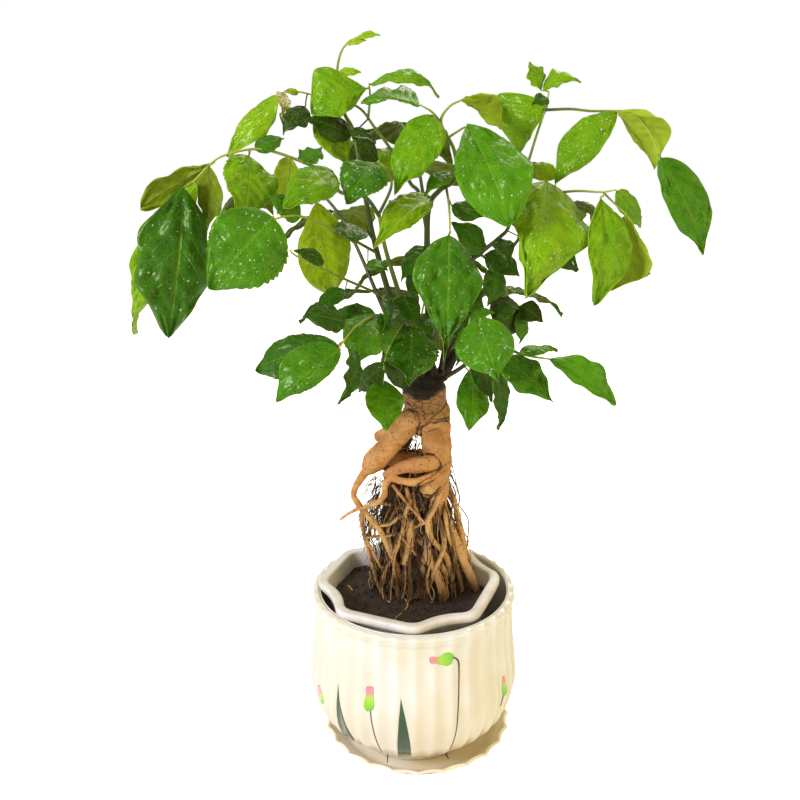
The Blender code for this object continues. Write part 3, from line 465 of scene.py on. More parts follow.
def spun_body(rows, steps, turns):
    bm = new_bmesh()
    chain = profile_chain(bm, rows, steps)
    bmesh.ops.spin(
        bm,
        geom=chain,
        cent=(0.0, 0.0, 0.0),
        axis=(0.0, 0.0, 1.0),
        angle=math.tau,
        steps=turns,
        use_merge=True,
    )
    bmesh.ops.remove_doubles(bm, verts=bm.verts, dist=1e-6)
    bmesh.ops.recalc_face_normals(bm, faces=bm.faces)
    return bm


def flute_dip(angle):
    """0 on a ridge and 1 in the middle of a flute, with a soft ridge."""
    wave = abs(math.sin(POT_FLUTES * angle / 2))
    return (math.sqrt(wave * wave + RIDGE_SOFT**2) - RIDGE_SOFT) / (math.sqrt(1 + RIDGE_SOFT**2) - RIDGE_SOFT)


def press_flutes(bm):
    tone = bm.verts.layers.float["tone"]
    for vert in bm.verts:
        radius = math.hypot(vert.co.x, vert.co.y)
        if radius < 1e-6:
            continue
        angle = math.atan2(vert.co.y, vert.co.x)
        height = vert.co.z / MM
        dip = flute_dip(angle)
        inside = radius / MM < 71.8 and height > 16 and (height > 60 or radius / MM < 60)
        inside = inside and not (height < 40 and radius / MM > 56)
        if inside:
            continue
        arch = ARCH_HEIGHT * dip
        fade = eased((FLUTE_HEAD + arch - height) / 2.2) * 0.4 + 0.6
        fade *= eased((height - FLUTE_FOOT + arch) / 2.2)
        depth = from_table(FLUTE_DEPTH, height) * dip * fade
        vert.co.x *= 1 - depth * MM / radius
        vert.co.y *= 1 - depth * MM / radius
        vert.co.z -= LIP_DIP * dip * eased((height - 124) / 4) * eased((radius / MM - 71.8) / 2) * MM
        # The tone paints shade into the flute hollows.
        vert[tone] = dip * fade * 0.6


pot_bm = spun_body(POT_OUTSIDE, 5, POT_STEPS)
press_flutes(pot_bm)
pot = finish_piece("glazed_pot", pot_bm, [pot_glaze], "pot_glaze", "pot")

# %% [markdown]
# ## Saucer
# The saucer is turned too, and its lip is pinched into twenty-four small scallops with a point between each two. It
# stands a little to the right of the pot's axis, as the photograph shows.

# %% Saucer
SAUCER_SHIFT = 3.0
SAUCER_SCALLOPS = 24
SAUCER_ROWS = [
    (0.6, 49.5),
    (0.0, 51.0),
    (1.2, 53.4),
    (8.0, 62.0),
    (13.5, 69.0),
    (15.9, 71.9),
    (17.0, 71.6),
    (17.3, 70.6),
    (16.6, 69.2),
    (14.0, 66.2),
    (8.6, 57.5),
    (7.9, 54.0),
    (7.9, 46.0),
]
SCALLOP_DEPTH = [(0.0, 0.0), (4.0, 0.2), (10.0, 1.0), (17.3, 2.5)]
saucer_bm = spun_body(SAUCER_ROWS, 5, 384)
tone_layer = saucer_bm.verts.layers.float["tone"]
for vert in saucer_bm.verts:
    radius = math.hypot(vert.co.x, vert.co.y)
    if radius > 52 * MM:
        angle = math.atan2(vert.co.y, vert.co.x)
        dip = abs(math.sin(SAUCER_SCALLOPS * angle / 2)) ** 0.85
        inner = eased((radius / MM - 56) / 8)
        depth = from_table(SCALLOP_DEPTH, vert.co.z / MM) * (1 - dip) * inner * MM
        vert.co.x *= 1 - (from_table(SCALLOP_DEPTH, vert.co.z / MM) * inner * MM - depth) / radius
        vert.co.y *= 1 - (from_table(SCALLOP_DEPTH, vert.co.z / MM) * inner * MM - depth) / radius
    # Painted shadow of the pot on the saucer's floor, darkest under the pot, and faint painted shade on the lower
    # outside.
    vert[tone_layer] = 0.8 * eased((66 - radius / MM) / 12) if vert.co.z > 7.0 * MM else 0.2
    vert.co.x += SAUCER_SHIFT * MM
saucer = finish_piece("glazed_saucer", saucer_bm, [saucer_glaze], "saucer_glaze", "saucer")

# %% [markdown]
# ## Liner
# Nursery pots are moulded from thin grey plastic. This one is a square with a scoop out of each corner. Its rim is a
# rolled flange: the plan is swept through a short chain of rings, from the floor up, over the rim and down inside. The
# plastic is matt, slightly lilac, with a fine moulded grain.

# %% Liner plastic
liner_plastic, tree, shader = new_material("liner_plastic")
place = object_place(tree)
scuffs = noise_of(tree, place, 60.0, 5.0, 0.6)
grain = noise_of(tree, place, 2400.0, 2.0)
dirt_and_shade = between(tree, noise_of(tree, place, 150.0, 4.0, 0.65), 0.52, 0.72)
height = add_node(tree, "ShaderNodeSeparateXYZ", {"Vector": place}).outputs["Z"]
low = calc(tree, "SUBTRACT", 1.0, between(tree, height, 0.1215, 0.1300))
dirt = calc(tree, "MULTIPLY", calc(tree, "MULTIPLY_ADD", dirt_and_shade, 0.5, 0.25), low)
base = mixed(tree, between(tree, scuffs, 0.35, 0.7), linear(236, 231, 225), linear(219, 213, 207))
base = mixed(tree, dirt, base, linear(92, 76, 62))
set_shader(
    tree,
    shader,
    {
        "Base Color": base,
        "Roughness": calc(tree, "MULTIPLY_ADD", scuffs, 0.2, 0.36),
        "Normal": bumped(tree, grain, 0.12, 0.08),
        "IOR": 1.45,
    },
)

# %% Liner body
LINER_CENTRE = Vector((-2.8, -1.2, 0.0))
LINER_REACH = 62.0
LINER_SCOOPS = [(182.0, 221.5), (273.0, 311.3), (366.5, 406.0), (455.0, 495.0)]
LINER_SCOOP_DEPTH = 4.5
PLAN_STEPS = 18
LINER_RINGS = [
    (18.4, 1.6, 0.66),
    (60.0, 2.0, 0.785),
    (128.0, 2.4, 0.985),
    (128.6, 2.9, 0.99),
    (128.8, 6.8, 1.0),
    (129.3, 7.5, 1.0),
    (133.2, 7.6, 1.0),
    (134.3, 7.1, 1.0),
    (134.7, 6.1, 1.0),
    (134.7, 2.6, 1.0),
    (134.4, 1.2, 1.0),
    (133.6, 0.4, 1.0),
    (131.5, 0.0, 1.0),
    (80.0, -0.3, 0.845),
    (20.4, -0.6, 0.66),
]


def liner_plan():
    """Angle and radius round the inner edge of the liner, with its corners eased."""
    plan = []
    for index, (start, end) in enumerate(LINER_SCOOPS):
        following = LINER_SCOOPS[(index + 1) % len(LINER_SCOOPS)][0]
        if following < end:
            following += 360.0
        for first, last, depth in ((start, end, LINER_SCOOP_DEPTH), (end, following, 0.0)):
            half = (last - first) / 2
            for step in range(PLAN_STEPS):
                share = step / PLAN_STEPS
                angle = first + (last - first) * share
                chord = LINER_REACH * math.cos(math.radians(half)) / math.cos(math.radians(angle - first - half))
                plan.append((angle, chord - depth * math.sin(math.pi * share) ** 0.7))
    eased_plan = []
    for i, (angle, _) in enumerate(plan):
        near = [plan[(i + shift) % len(plan)][1] for shift in (-2, -1, 0, 1, 2)]
        eased_plan.append((math.radians(angle), sum(near) / len(near)))
    return eased_plan


PLAN = liner_plan()


def plan_point(k, height, outset, share):
    angle, radius = PLAN[k % len(PLAN)]
    reach = radius * share + outset
    return (LINER_CENTRE + Vector((reach * math.cos(angle), reach * math.sin(angle), height))) * MM


liner_bm = new_bmesh()
carried_grid(liner_bm, len(PLAN), len(LINER_RINGS) - 1, lambda k, i: plan_point(k, *LINER_RINGS[i]))
bmesh.ops.remove_doubles(liner_bm, verts=liner_bm.verts, dist=1e-7)
bmesh.ops.holes_fill(liner_bm, edges=liner_bm.edges, sides=0)
bmesh.ops.recalc_face_normals(liner_bm, faces=liner_bm.faces)
liner = finish_piece("nursery_liner", liner_bm, [liner_plastic], "liner_plastic", "liner")

# %% [markdown]
# ## Soil
# Potting soil is dark, damp and crumbly. Its body follows the inside of the liner. Its top is a fine round grid whose
# points are raised and lowered by several sizes of noise, a little higher around the roots, and loose crumbs lie on it.
# The colour goes from nearly black to brown by the same kind of noise, with a few pale bits of fibre.

# %% Soil material
soil_dark, tree, shader = new_material("soil")
place = object_place(tree)
coarse = noise_of(tree, place, 190.0, 6.0, 0.7)
fine = noise_of(tree, place, 900.0, 4.0, 0.75)
crumb = add_node(tree, "ShaderNodeTexVoronoi", {"Vector": place, "Scale": 520.0})
fibre = noise_of(tree, stretched(tree, place, (900.0, 120.0, 300.0)), 1.0, 2.0)
base = ramp(
    tree,
    calc(tree, "MULTIPLY_ADD", fine, 0.5, calc(tree, "MULTIPLY", coarse, 0.5)),
    [(0.30, linear(24, 17, 12)), (0.48, linear(52, 38, 26)), (0.62, linear(82, 62, 44)), (0.78, linear(120, 96, 70))],
)
base = mixed(tree, calc(tree, "MULTIPLY", between(tree, fibre, 0.70, 0.78), 0.5), base, linear(128, 100, 66))
relief = calc(tree, "MULTIPLY_ADD", crumb.outputs["Distance"], -0.5, fine)
set_shader(
    tree,
    shader,
    {
        "Base Color": base,
        "Roughness": calc(tree, "MULTIPLY_ADD", coarse, -0.25, 0.98),
        "Normal": bumped(tree, relief, 0.9, 1.2),
    },
)

# %% Soil body and crumbs
SOIL_TOP = 122.0
SOIL_GAP = 0.4
SOIL_RINGS = 64
ROOT_FOOT = Vector((12.0, 6.0, 0.0)) * MM


def soil_height(point):
    """The height of the soil's surface at a place, in millimetres."""
    spread = Vector((point.x - ROOT_FOOT.x, (point.y - ROOT_FOOT.y) * 1.3, 0.0)).length / MM
    mound = 2.4 * math.exp(-((spread / 26.0) ** 2))
    rolling = 1.1 * noise.noise(Vector((point.x, point.y, 0.02)) * 48)
    lumps = 0.75 * noise.noise(Vector((point.x, point.y, 0.31)) * 190)
    grit = 0.45 * noise.noise(Vector((point.x, point.y, 0.77)) * 520)
    return SOIL_TOP + 0.2 + mound + rolling + lumps + grit


def soil_point(k, i):
    """Rows run from the floor up the side, then over the top to the middle."""
    floor_share = 0.66
    rise = (SOIL_TOP - 20.4) / (131.5 - 20.4)
    top_share = floor_share + (1.0 - floor_share) * rise
    if i < 2:
        share, outset, height = [(floor_share, -0.6 - SOIL_GAP, 20.8), (top_share, -SOIL_GAP, SOIL_TOP - 1.5)][i]
        return plan_point(k, height, outset, share)
    inward = 1 - (i - 2) / SOIL_RINGS
    middle = plan_point(0, 0.0, -1000.0, 0.0)
    point = plan_point(k, 0.0, -SOIL_GAP, top_share)
    centre = LINER_CENTRE * MM
    point = centre + (point - centre) * inward
    point.z = soil_height(point) * MM
    return point


soil_bm = new_bmesh()
carried_grid(soil_bm, len(PLAN), SOIL_RINGS + 2, soil_point)
bmesh.ops.remove_doubles(soil_bm, verts=soil_bm.verts, dist=1e-6)
bmesh.ops.holes_fill(soil_bm, edges=soil_bm.edges, sides=0)
bmesh.ops.recalc_face_normals(soil_bm, faces=soil_bm.faces)
soil = finish_piece("potting_soil", soil_bm, [soil_dark], "soil", "soil")

crumb_rng = random.Random(21)
crumb_bm = new_bmesh()
CRUMBS = 620
for _ in range(CRUMBS):
    angle, reach = PLAN[crumb_rng.randrange(len(PLAN))]
    away = (reach - 5.0) * math.sqrt(crumb_rng.random())
    spot = LINER_CENTRE * MM + Vector((away * math.cos(angle), away * math.sin(angle), 0.0)) * MM
    size = (0.35 + 1.1 * crumb_rng.random() ** 3) * MM
    spot.z = soil_height(spot) * MM + size * 0.3
    made = bmesh.ops.create_icosphere(crumb_bm, subdivisions=1, radius=size)["verts"]
    turn = Matrix.Rotation(crumb_rng.random() * math.tau, 4, Vector((crumb_rng.random(), crumb_rng.random(), 1.0)).normalized())
    for vert in made:
        vert.co *= 0.75 + 0.5 * crumb_rng.random()
        vert.co.z *= 0.7
    bmesh.ops.transform(crumb_bm, matrix=Matrix.Translation(spot) @ turn, verts=made)
soil_crumbs = finish_piece("soil_crumbs", crumb_bm, [soil_dark], "soil")

# %% [markdown]
# ## Bark
# The trunk is old root: smooth tan bark with fine cross wrinkles, rusty blotches and small dark pits, with painted
# shade in every crease and on the undersides. The creases come from the shape itself. Each point of the mesh carries a
# number, tone, that says how hollow the surface is there and how much it faces down, and the bark is painted darker
# with it as shade. Near the top the bark is nearly black: old bark, with painted shade under the leaves.

# %% Bark material
bark, tree, shader = new_material("bark")
place = object_place(tree)
spot = add_node(tree, "ShaderNodeSeparateXYZ", {"Vector": place})
height = spot.outputs["Z"]
hollow = add_node(tree, "ShaderNodeAttribute", attribute_name="tone").outputs["Fac"]
blotch = noise_of(tree, place, 95.0, 5.0, 0.65)
mottle = noise_of(tree, place, 330.0, 4.0, 0.7)
wrinkle = noise_of(tree, stretched(tree, place, (150.0, 150.0, 620.0)), 1.0, 5.0, 0.65)
grain = noise_of(tree, place, 1300.0, 4.0, 0.7)
pits = add_node(tree, "ShaderNodeTexVoronoi", {"Vector": stretched(tree, place, (300.0, 300.0, 430.0)), "Scale": 1.0})
pit = calc(tree, "SUBTRACT", 1.0, between(tree, pits.outputs["Distance"], 0.10, 0.28))
pit = calc(tree, "MULTIPLY", pit, between(tree, noise_of(tree, place, 170.0, 1.0), 0.42, 0.52))
plates = add_node(
    tree,
    "ShaderNodeTexVoronoi",
    {"Vector": stretched(tree, place, (170.0, 170.0, 300.0)), "Scale": 1.0},
    feature="DISTANCE_TO_EDGE",
)
# Only the old bark of the neck is cracked into plates.
neck = between(tree, calc(tree, "MULTIPLY_ADD", blotch, 0.012, height), 0.2680, 0.2760)
crack = calc(tree, "SUBTRACT", 1.0, between(tree, plates.outputs["Distance"], 0.0, 0.10))
crack = calc(tree, "MULTIPLY", crack, calc(tree, "MULTIPLY", neck, between(tree, mottle, 0.40, 0.56)))
BARK_TAN = linear(207, 153, 89)
BARK_DEEP = linear(178, 120, 62)
BARK_NECK = linear(164, 121, 76)
BARK_PALE = linear(230, 186, 126)
BARK_CRACK_AND_SHADE = linear(60, 35, 18)
BARK_DARK = linear(26, 19, 12)
BARK_YOUNG = linear(220, 182, 116)
BARK_DUST = linear(96, 72, 48)
base = mixed(tree, between(tree, blotch, 0.36, 0.66), BARK_TAN, BARK_DEEP)
base = mixed(tree, calc(tree, "MULTIPLY", neck, 0.75), base, BARK_NECK)
young = between(tree, calc(tree, "MULTIPLY_ADD", blotch, 0.080, height), 0.2600, 0.2300)
base = mixed(tree, calc(tree, "MULTIPLY", young, 0.55), base, BARK_YOUNG)
base = mixed(tree, calc(tree, "MULTIPLY", between(tree, mottle, 0.52, 0.68), 0.60), base, BARK_DEEP)
base = mixed(tree, calc(tree, "MULTIPLY", between(tree, grain, 0.56, 0.70), 0.55), base, BARK_PALE)
base = mixed(tree, calc(tree, "MULTIPLY", between(tree, wrinkle, 0.54, 0.66), 0.75), base, BARK_DEEP)
base = mixed(tree, calc(tree, "MULTIPLY", pit, 0.70), base, BARK_CRACK_AND_SHADE)
base = mixed(tree, calc(tree, "MULTIPLY", crack, 0.55), base, BARK_CRACK_AND_SHADE)
# Painted shade in the creases and hollows, by the tone of each point.
crease = between(tree, calc(tree, "MULTIPLY_ADD", blotch, 0.25, hollow), 0.34, 0.90)
base = mixed(tree, calc(tree, "MULTIPLY", crease, 0.90), base, BARK_CRACK_AND_SHADE)
foot = between(tree, calc(tree, "MULTIPLY_ADD", blotch, 0.030, height), 0.1720, 0.1500)
base = mixed(tree, calc(tree, "MULTIPLY", foot, 0.55), base, BARK_DUST)
# Dark old bark and painted shade under the leaves cover the top, and hang down in a point in front.
aside = calc(tree, "ABSOLUTE", calc(tree, "SUBTRACT", spot.outputs["X"], 0.001))
crown_edge = calc(tree, "MULTIPLY_ADD", aside, -0.28, height)
crown = between(tree, calc(tree, "MULTIPLY_ADD", blotch, 0.020, crown_edge), 0.2870, 0.2908)
base = mixed(tree, calc(tree, "MULTIPLY", crown, 0.97), base, BARK_DARK)
relief = calc(tree, "MULTIPLY_ADD", wrinkle, 0.8, calc(tree, "MULTIPLY", grain, 0.35))
relief = calc(tree, "MULTIPLY_ADD", pit, -0.7, relief)
relief = calc(tree, "MULTIPLY_ADD", crack, -1.2, relief)
set_shader(
    tree,
    shader,
    {
        "Base Color": base,
        "Roughness": calc(tree, "MULTIPLY_ADD", grain, 0.25, 0.48),
        "Normal": bumped(tree, relief, 0.85, 0.9),
        "IOR": 1.45,
    },
)

# %% [markdown]
# ## Trunk and roots
# A trunk like this one is easy to build in clay: roll limbs and roots, press them together, and smooth the joints. The
# same is done here. Each limb is a tapered stem along a curve, all of them are merged by a voxel remesh, and a light
# smoothing rounds the joints. Then the surface is nudged by noise, so that no limb keeps a drawn outline.

# %% Limbs and roots
# Trunk and legs. Each row of a limb is pixel x, pixel y, distance behind the axis and radius, both in millimetres.
LIMBS = [
    [(426, 377, 1, 12.0), (425, 385, 1, 14.8), (424.5, 395, 1, 15.2), (427, 413, 1, 16.6), (427, 428, 1, 11.0)],
    [
        (433, 408, 0, 11.6), (436, 425, 0, 10.8), (436.5, 440, 0, 11.0), (437.5, 458, -1, 10.4),
        (438, 475, -2, 8.8), (438, 492, -3, 7.8), (436, 508, -4, 5.6), (434, 522, -4, 3.2),
    ],
    [
        (415, 415, 0, 9.6), (405, 428, -2, 8.4), (394, 440, -4, 8.0), (383, 452, -6, 8.2),
        (374.5, 461, -7, 8.2), (368, 469, -8, 5.6),
    ],
    [(400, 424, 6, 5.0), (390, 431, 10, 4.6), (378, 437, 13, 4.2)],
    [(441, 468, -4, 6.8), (436, 477, -7, 8.2), (430.5, 486, -8, 7.7), (426, 492, -7, 5.6)],
]

# Roots: as limbs, and each ends in the soil.
ROOTS = [
    [(368, 468, -8, 3.6), (354, 491, -9, 2.3), (359, 505, -9, 2.2), (379, 529, -9, 2.2), (392, 556, -8, 2.2), (401, 579, -7, 2.2), (405, 592, -6, 2.2)],
    [(441, 486, -8, 2.6), (436, 504, -12, 2.2), (428, 521, -13, 2.2), (432, 539, -13, 2.2), (445, 554, -11, 2.2), (451, 576, -9, 2.2), (453, 590, -8, 2.3)],
    [(443, 480, 0, 3.0), (454, 501, -2, 2.2), (459, 523, -2, 2.2), (464, 548, 0, 1.9), (469, 583, 2, 1.6)],
    [(440, 496, -4, 2.2), (455, 538, -6, 3.2), (464, 562, -6, 3.4), (471, 577, -4, 3.2), (475, 588, -3, 3.2)],
    [(404, 520, 0, 2.0), (415, 536, -6, 2.0), (434, 556, -9, 2.0), (445, 572, -12, 2.0), (448, 588, -12, 2.0)],
    [(426, 510, -3, 2.2), (422, 542, -4, 2.2), (415, 560, -5, 2.2), (410, 578, -6, 2.2), (408, 592, -6, 2.2)],
    [(430, 512, -4, 2.4), (428, 553, -13, 3.0), (436, 572, -15, 3.2), (441, 586, -15, 3.2), (443, 598, -15, 3.2)],
    [(424, 545, -4, 2.4), (424, 570, -8, 3.0), (418, 590, -8, 3.2)],
    [(362, 508, -9, 1.8), (363, 530, -4, 1.5), (369, 552, -2, 1.4), (377, 582, -4, 1.4), (385, 597, -8, 1.5)],
    [(372, 520, -9, 1.6), (368, 545, 4, 1.4), (376, 566, 6, 1.4), (394, 584, 4, 1.4)],
    [(398, 505, -4, 1.8), (388, 530, -6, 1.8), (394, 560, -9, 1.8), (398, 596, -10, 1.8)],
    [(444, 490, -3, 2.0), (446, 520, -10, 1.8), (452, 548, -9, 1.8), (462, 590, -5, 1.8)],
    [(440, 520, -6, 1.8), (444, 546, -14, 1.8), (434, 572, -17, 1.8), (428, 596, -16, 1.8)],
]

# The dense root ball that the roots wrap.
CORE = [(424, 466, 4, 6.0), (415, 500, 7, 13.0), (417, 540, 9, 18.0), (420, 585, 9, 20.0)]

# Roots that cross from one side to the other and end on another root.
CROSS_ROOTS = [
    [
        (441, 460, -8, 4.8), (430, 463, -13, 5.7), (418, 465, -14, 5.7), (404, 467, -13, 4.8),
        (393, 471, -12, 3.4), (384, 475, -11, 2.2),
    ],
    [
        (443, 467, -9, 3.0), (430, 477, -14, 3.1), (416, 482, -15, 3.0), (402, 481, -15, 2.7),
        (391, 479, -15, 2.4), (385, 486, -15, 2.2), (384, 496, -14, 2.1), (374, 504.5, -14, 1.8),
        (361, 508, -13, 1.6), (351, 512, -13, 1.3), (340, 519.5, -13, 1.0),
    ],
    [(381, 525, -9, 1.7), (391, 523, -10, 1.9), (402, 515, -9, 1.6), (424, 508, -4, 1.5)],
    [(367, 537, -8, 1.2), (385, 536, -9, 1.4), (403, 531, -9, 1.5), (428, 521, -13, 1.6)],
    [(372, 500, -14, 1.7), (396, 505, -2, 1.6), (428, 500, -3, 1.8)],
]

# The swollen upper ends of the legs, which bulge a little out of the neck, and the rough wood behind the cross root.
SWELLINGS = [
    [(435, 431, -3.6, 10.2), (436.5, 444, -2, 10.6), (437, 456, -2, 10.2)],
    [(416, 413, -4, 8.8), (406, 426, -4, 8.4), (396, 438, -5, 7.8)],
    [(390, 463, 1, 3.0), (402, 457, 2, 4.4), (414, 456, 3, 4.4), (425, 452, 4, 3.0)],
]

# Wood and packed fibres behind the legs and the crossing roots, painted dark as deep shade.
SHADED_WOOD = [
    [(410, 434, 5, 2.6), (403, 445, 6, 4.6), (394, 457, 6, 5.2), (384, 467, 5, 4.2)],
    [(386, 476, 3, 3.0), (400, 477, 3, 4.2), (418, 479, 3, 6.0)],
    [(394, 480, 6, 4.0), (393, 500, 6, 6.4), (397, 522, 6, 11.0), (403, 548, 7, 15.0)],
    [(431, 388, 3, 5.5), (441, 375, 10.3, 3.7), (447, 366, 12, 4.5), (454, 355, 13.5, 4.0), (457, 350, 14, 2.4)],
]

# Creases between limbs, as pixels, and how wide they are.
CREASES = [
    [(421, 435), (421, 428), (425, 425), (431, 422.5), (434, 423.5), (440, 421.5), (446, 421), (451, 422)],
    [(402, 411), (409, 409), (415, 412), (419, 416), (419.5, 422), (418, 428)],
    [(448, 402), (442, 409), (436, 414), (430, 419), (425, 423)],
    [(451, 417), (444, 419), (437, 420), (430, 419)],
    [(405, 400), (411, 407), (419, 414)],
    [(421, 455), (428, 454), (434, 455), (438, 458), (441, 464)],
    [(441, 465), (438, 471), (431, 477), (423, 481), (418, 484), (418, 491), (422, 495), (430, 496), (436, 493), (440, 487)],
]
CREASE_WIDE = 1.05
CREASE_DEEP = 0.9

# Thinner roots that the solids leave out.
THIN_ROOTS = [
    [(360, 514, -7, 0.9), (362, 528, -6, 1.0), (367, 540, -7, 1.1), (371, 548, -8, 1.0), (376, 558, -8, 0.9), (381, 568, -8, 0.7)],
    [(446, 484, 0, 1.1), (454, 502, 1, 1.3), (457, 516, 2, 1.3), (463, 531, 2, 1.1), (466, 547, 2, 0.8)],
    [(413, 492, -7, 1.6), (414, 506, -9, 2.0), (421, 521, -11, 1.5)],
    [(406, 487, -9, 1.5), (409, 503, -10, 2.2), (403, 517, -9, 1.5)],
    [(401, 537, -13, 0.7), (409, 546, -14, 0.7), (416, 555, -14, 0.6)],
    [(430, 564, -17, 1.0), (427, 579, -18, 1.1), (428, 592, -19, 0.9)],
    [(400, 533, -10, 1.8), (397, 546, -12, 2.2), (392, 557, -12, 1.6)],
    [(410, 520, -9, 3.2), (410, 540, -10, 3.6), (405, 563, -10, 3.0)],
    [(392, 484, -12, 1.2), (398, 492, -12, 1.2), (411, 508, -13, 1.0), (424, 522, -13, 0.9)],
]


def limb_line(rows, steps, ends_in_soil):
    """The line of a limb and its radius at each point."""
    points = [sight(px, py, depth) for px, py, depth, _ in rows]
    radii = [row[3] for row in rows]
    if ends_in_soil:
        foot = sight_to_height(rows[-1][0], rows[-1][1], SOIL_TOP + 1.5)
        points[-1] = foot
        points.append(foot - Vector((0.0, 0.0, 9.5 * MM)))
        radii.append(radii[-1] * 0.9)
    line = curve_through(points, steps)
    spread = []
    for i in range(len(line)):
        low = min(i // steps, len(radii) - 1)
        high = min(low + 1, len(radii) - 1)
        spread.append(radii[low] + (radii[high] - radii[low]) * eased(i / steps - low))
    return line, spread


def knobbly(line, radii, amount, seed):
    """The radii, swollen and pinched a little by noise along the line."""
    shaped = []
    for i, (point, radius) in enumerate(zip(line, radii)):
        swell = noise.noise(point * 90 + Vector((seed, 0.0, 0.0)))
        ring = noise.noise(point * 420 + Vector((0.0, seed, 0.0)))
        shaped.append(radius * (1 + amount * swell + 0.25 * amount * ring))
    return shaped


def taper(count, first, last):
    return [first + (last - first) * i / (count - 1) for i in range(count)]

# %% Trunk mesh
TRUNK_VOXEL = 0.62
THICK_CROSS_ROOTS = 2


def add_limbs(bm, table, ends_in_soil, sides, amount, tone=0.5):
    for index, rows in enumerate(table):
        line, radii = limb_line(rows, 6, ends_in_soil)
        add_tube(bm, line, knobbly(line, radii, amount, index * 3.1), sides, tone)


trunk_bm = new_bmesh()
add_limbs(trunk_bm, LIMBS, False, 24, 0.10)
add_limbs(trunk_bm, SWELLINGS, False, 24, 0.08)
add_limbs(trunk_bm, CROSS_ROOTS[:THICK_CROSS_ROOTS], False, 14, 0.16)
add_limbs(trunk_bm, ROOTS[:1], True, 14, 0.14)
trunk = finish_piece("trunk", trunk_bm, [bark], "bark", "trunk_and_roots")
remesh = trunk.modifiers.new("merge", "REMESH")
remesh.mode = "VOXEL"
remesh.voxel_size = TRUNK_VOXEL * MM
rounding = trunk.modifiers.new("round", "CORRECTIVE_SMOOTH")
rounding.iterations = 4
rounding.use_only_smooth = True
rounding.factor = 0.4
applied(trunk)

# %% Bark relief and hollows
HOLLOW_STEPS = 5
HOLLOW_GAIN = 1.5


def roughen(mesh):
    """Nudges each point along its normal by noise: cross wrinkles, small knots, and a fine grain."""
    moved = []
    for vert in mesh.vertices:
        p = vert.co
        wrinkle = noise.noise(Vector((p.x * 110, p.y * 110, p.z * 460)))
        knot = noise.noise(p * 150 + Vector((7.0, 0.0, 0.0)))
        grit = noise.noise(p * 700)
        moved.append(p + vert.normal * (0.22 * wrinkle + 0.30 * knot + 0.10 * grit) * MM)
    for vert, point in zip(mesh.vertices, moved):
        vert.co = point


# The side painted with shade: mostly down, a little to the right, away from the key lamp.
SHADED_SIDE = Vector((0.40, 0.10, -0.91))


def dirt_and_shade(vert, most):
    """How much painted shade this point gets: it keeps to the undersides, and a little to the right."""
    return most * max(0.15 + vert.normal.dot(SHADED_SIDE), 0.0)


def mark_hollows(mesh):
    """Writes how hollow the surface is at each point, where its neighbours' mean lies outside it in a crease, and adds
    the painted shade of the undersides.
    """
    bm = bmesh.new()
    bm.from_mesh(mesh)
    bm.normal_update()
    depth = []
    for vert in bm.verts:
        ring = [edge.other_vert(vert).co for edge in vert.link_edges]
        mean = sum(ring, Vector((0.0, 0.0, 0.0))) / len(ring)
        depth.append((mean - vert.co).dot(vert.normal) / MM)
    for _ in range(HOLLOW_STEPS):
        spread = []
        for vert in bm.verts:
            ring = [depth[edge.other_vert(vert).index] for edge in vert.link_edges]
            spread.append(0.5 * depth[vert.index] + 0.5 * sum(ring) / len(ring))
        depth = spread
    layer = bm.verts.layers.float.new("tone")
    for vert, value in zip(bm.verts, depth):
        vert[layer] = min(max(value * HOLLOW_GAIN * 10, 0.0) + dirt_and_shade(vert, 0.45), 1.0)
    bm.to_mesh(mesh)
    bm.free()


def seen_pixel(point):
    """The pixel at which the eye sees this point."""
    view = point - EYE
    away = view.y * math.cos(EYE_TILT) - view.z * math.sin(EYE_TILT)
    lift = view.y * math.sin(EYE_TILT) + view.z * math.cos(EYE_TILT)
    return Vector((FRAME_CENTRE + EYE_PIXELS * view.x / away, FRAME_CENTRE - EYE_PIXELS * lift / away))


def crease_share(pixel):
    """1 on a crease and 0 away from it."""
    nearest = 9.0
    for crease in CREASES:
        for start, end in zip(crease, crease[1:]):
            start = Vector(start)
            span = Vector(end) - start
            share = min(max((pixel - start).dot(span) / span.length_squared, 0.0), 1.0)
            nearest = min(nearest, (pixel - start - span * share).length)
    return math.exp(-((nearest / CREASE_WIDE) ** 2))


def carve_creases(mesh):
    """Sinks the side that faces the eye along the creases, and marks it as hollow, so that the bark is painted with
    shade there.
    """
    tone = mesh.attributes["tone"].data
    for vert in mesh.vertices:
        if vert.normal.y > 0.1:
            continue
        pixel = seen_pixel(vert.co)
        if not (398 < pixel.x < 456 and 396 < pixel.y < 500):
            continue
        share = crease_share(pixel + Vector((noise.noise(vert.co * 300), noise.noise(vert.co * 310))) * 1.2)
        if share > 0.02:
            tone[vert.index].value = min(tone[vert.index].value + 0.62 * share, 1.0)
            vert.co -= vert.normal * CREASE_DEEP * share * MM


mark_hollows(trunk.data)
carve_creases(trunk.data)
roughen(trunk.data)
trunk.data.shade_smooth()
print("trunk:", len(trunk.data.polygons) * 2, "triangles after the remesh")

# %% Root meshes
MID_ROOTS = 40
CONE_MIDDLE = 426
CONE_LEAN = 6


def wandering(points, amount_mm, rng):
    """The points with small sideways steps, so that the root isn't straight."""
    moved = [points[0]]
    for point in points[1:-1]:
        step = Vector((rng.uniform(-1, 1), rng.uniform(-1, 1), rng.uniform(-1, 1)))
        moved.append(point + step * amount_mm * MM)
    moved.append(points[-1])
    return moved


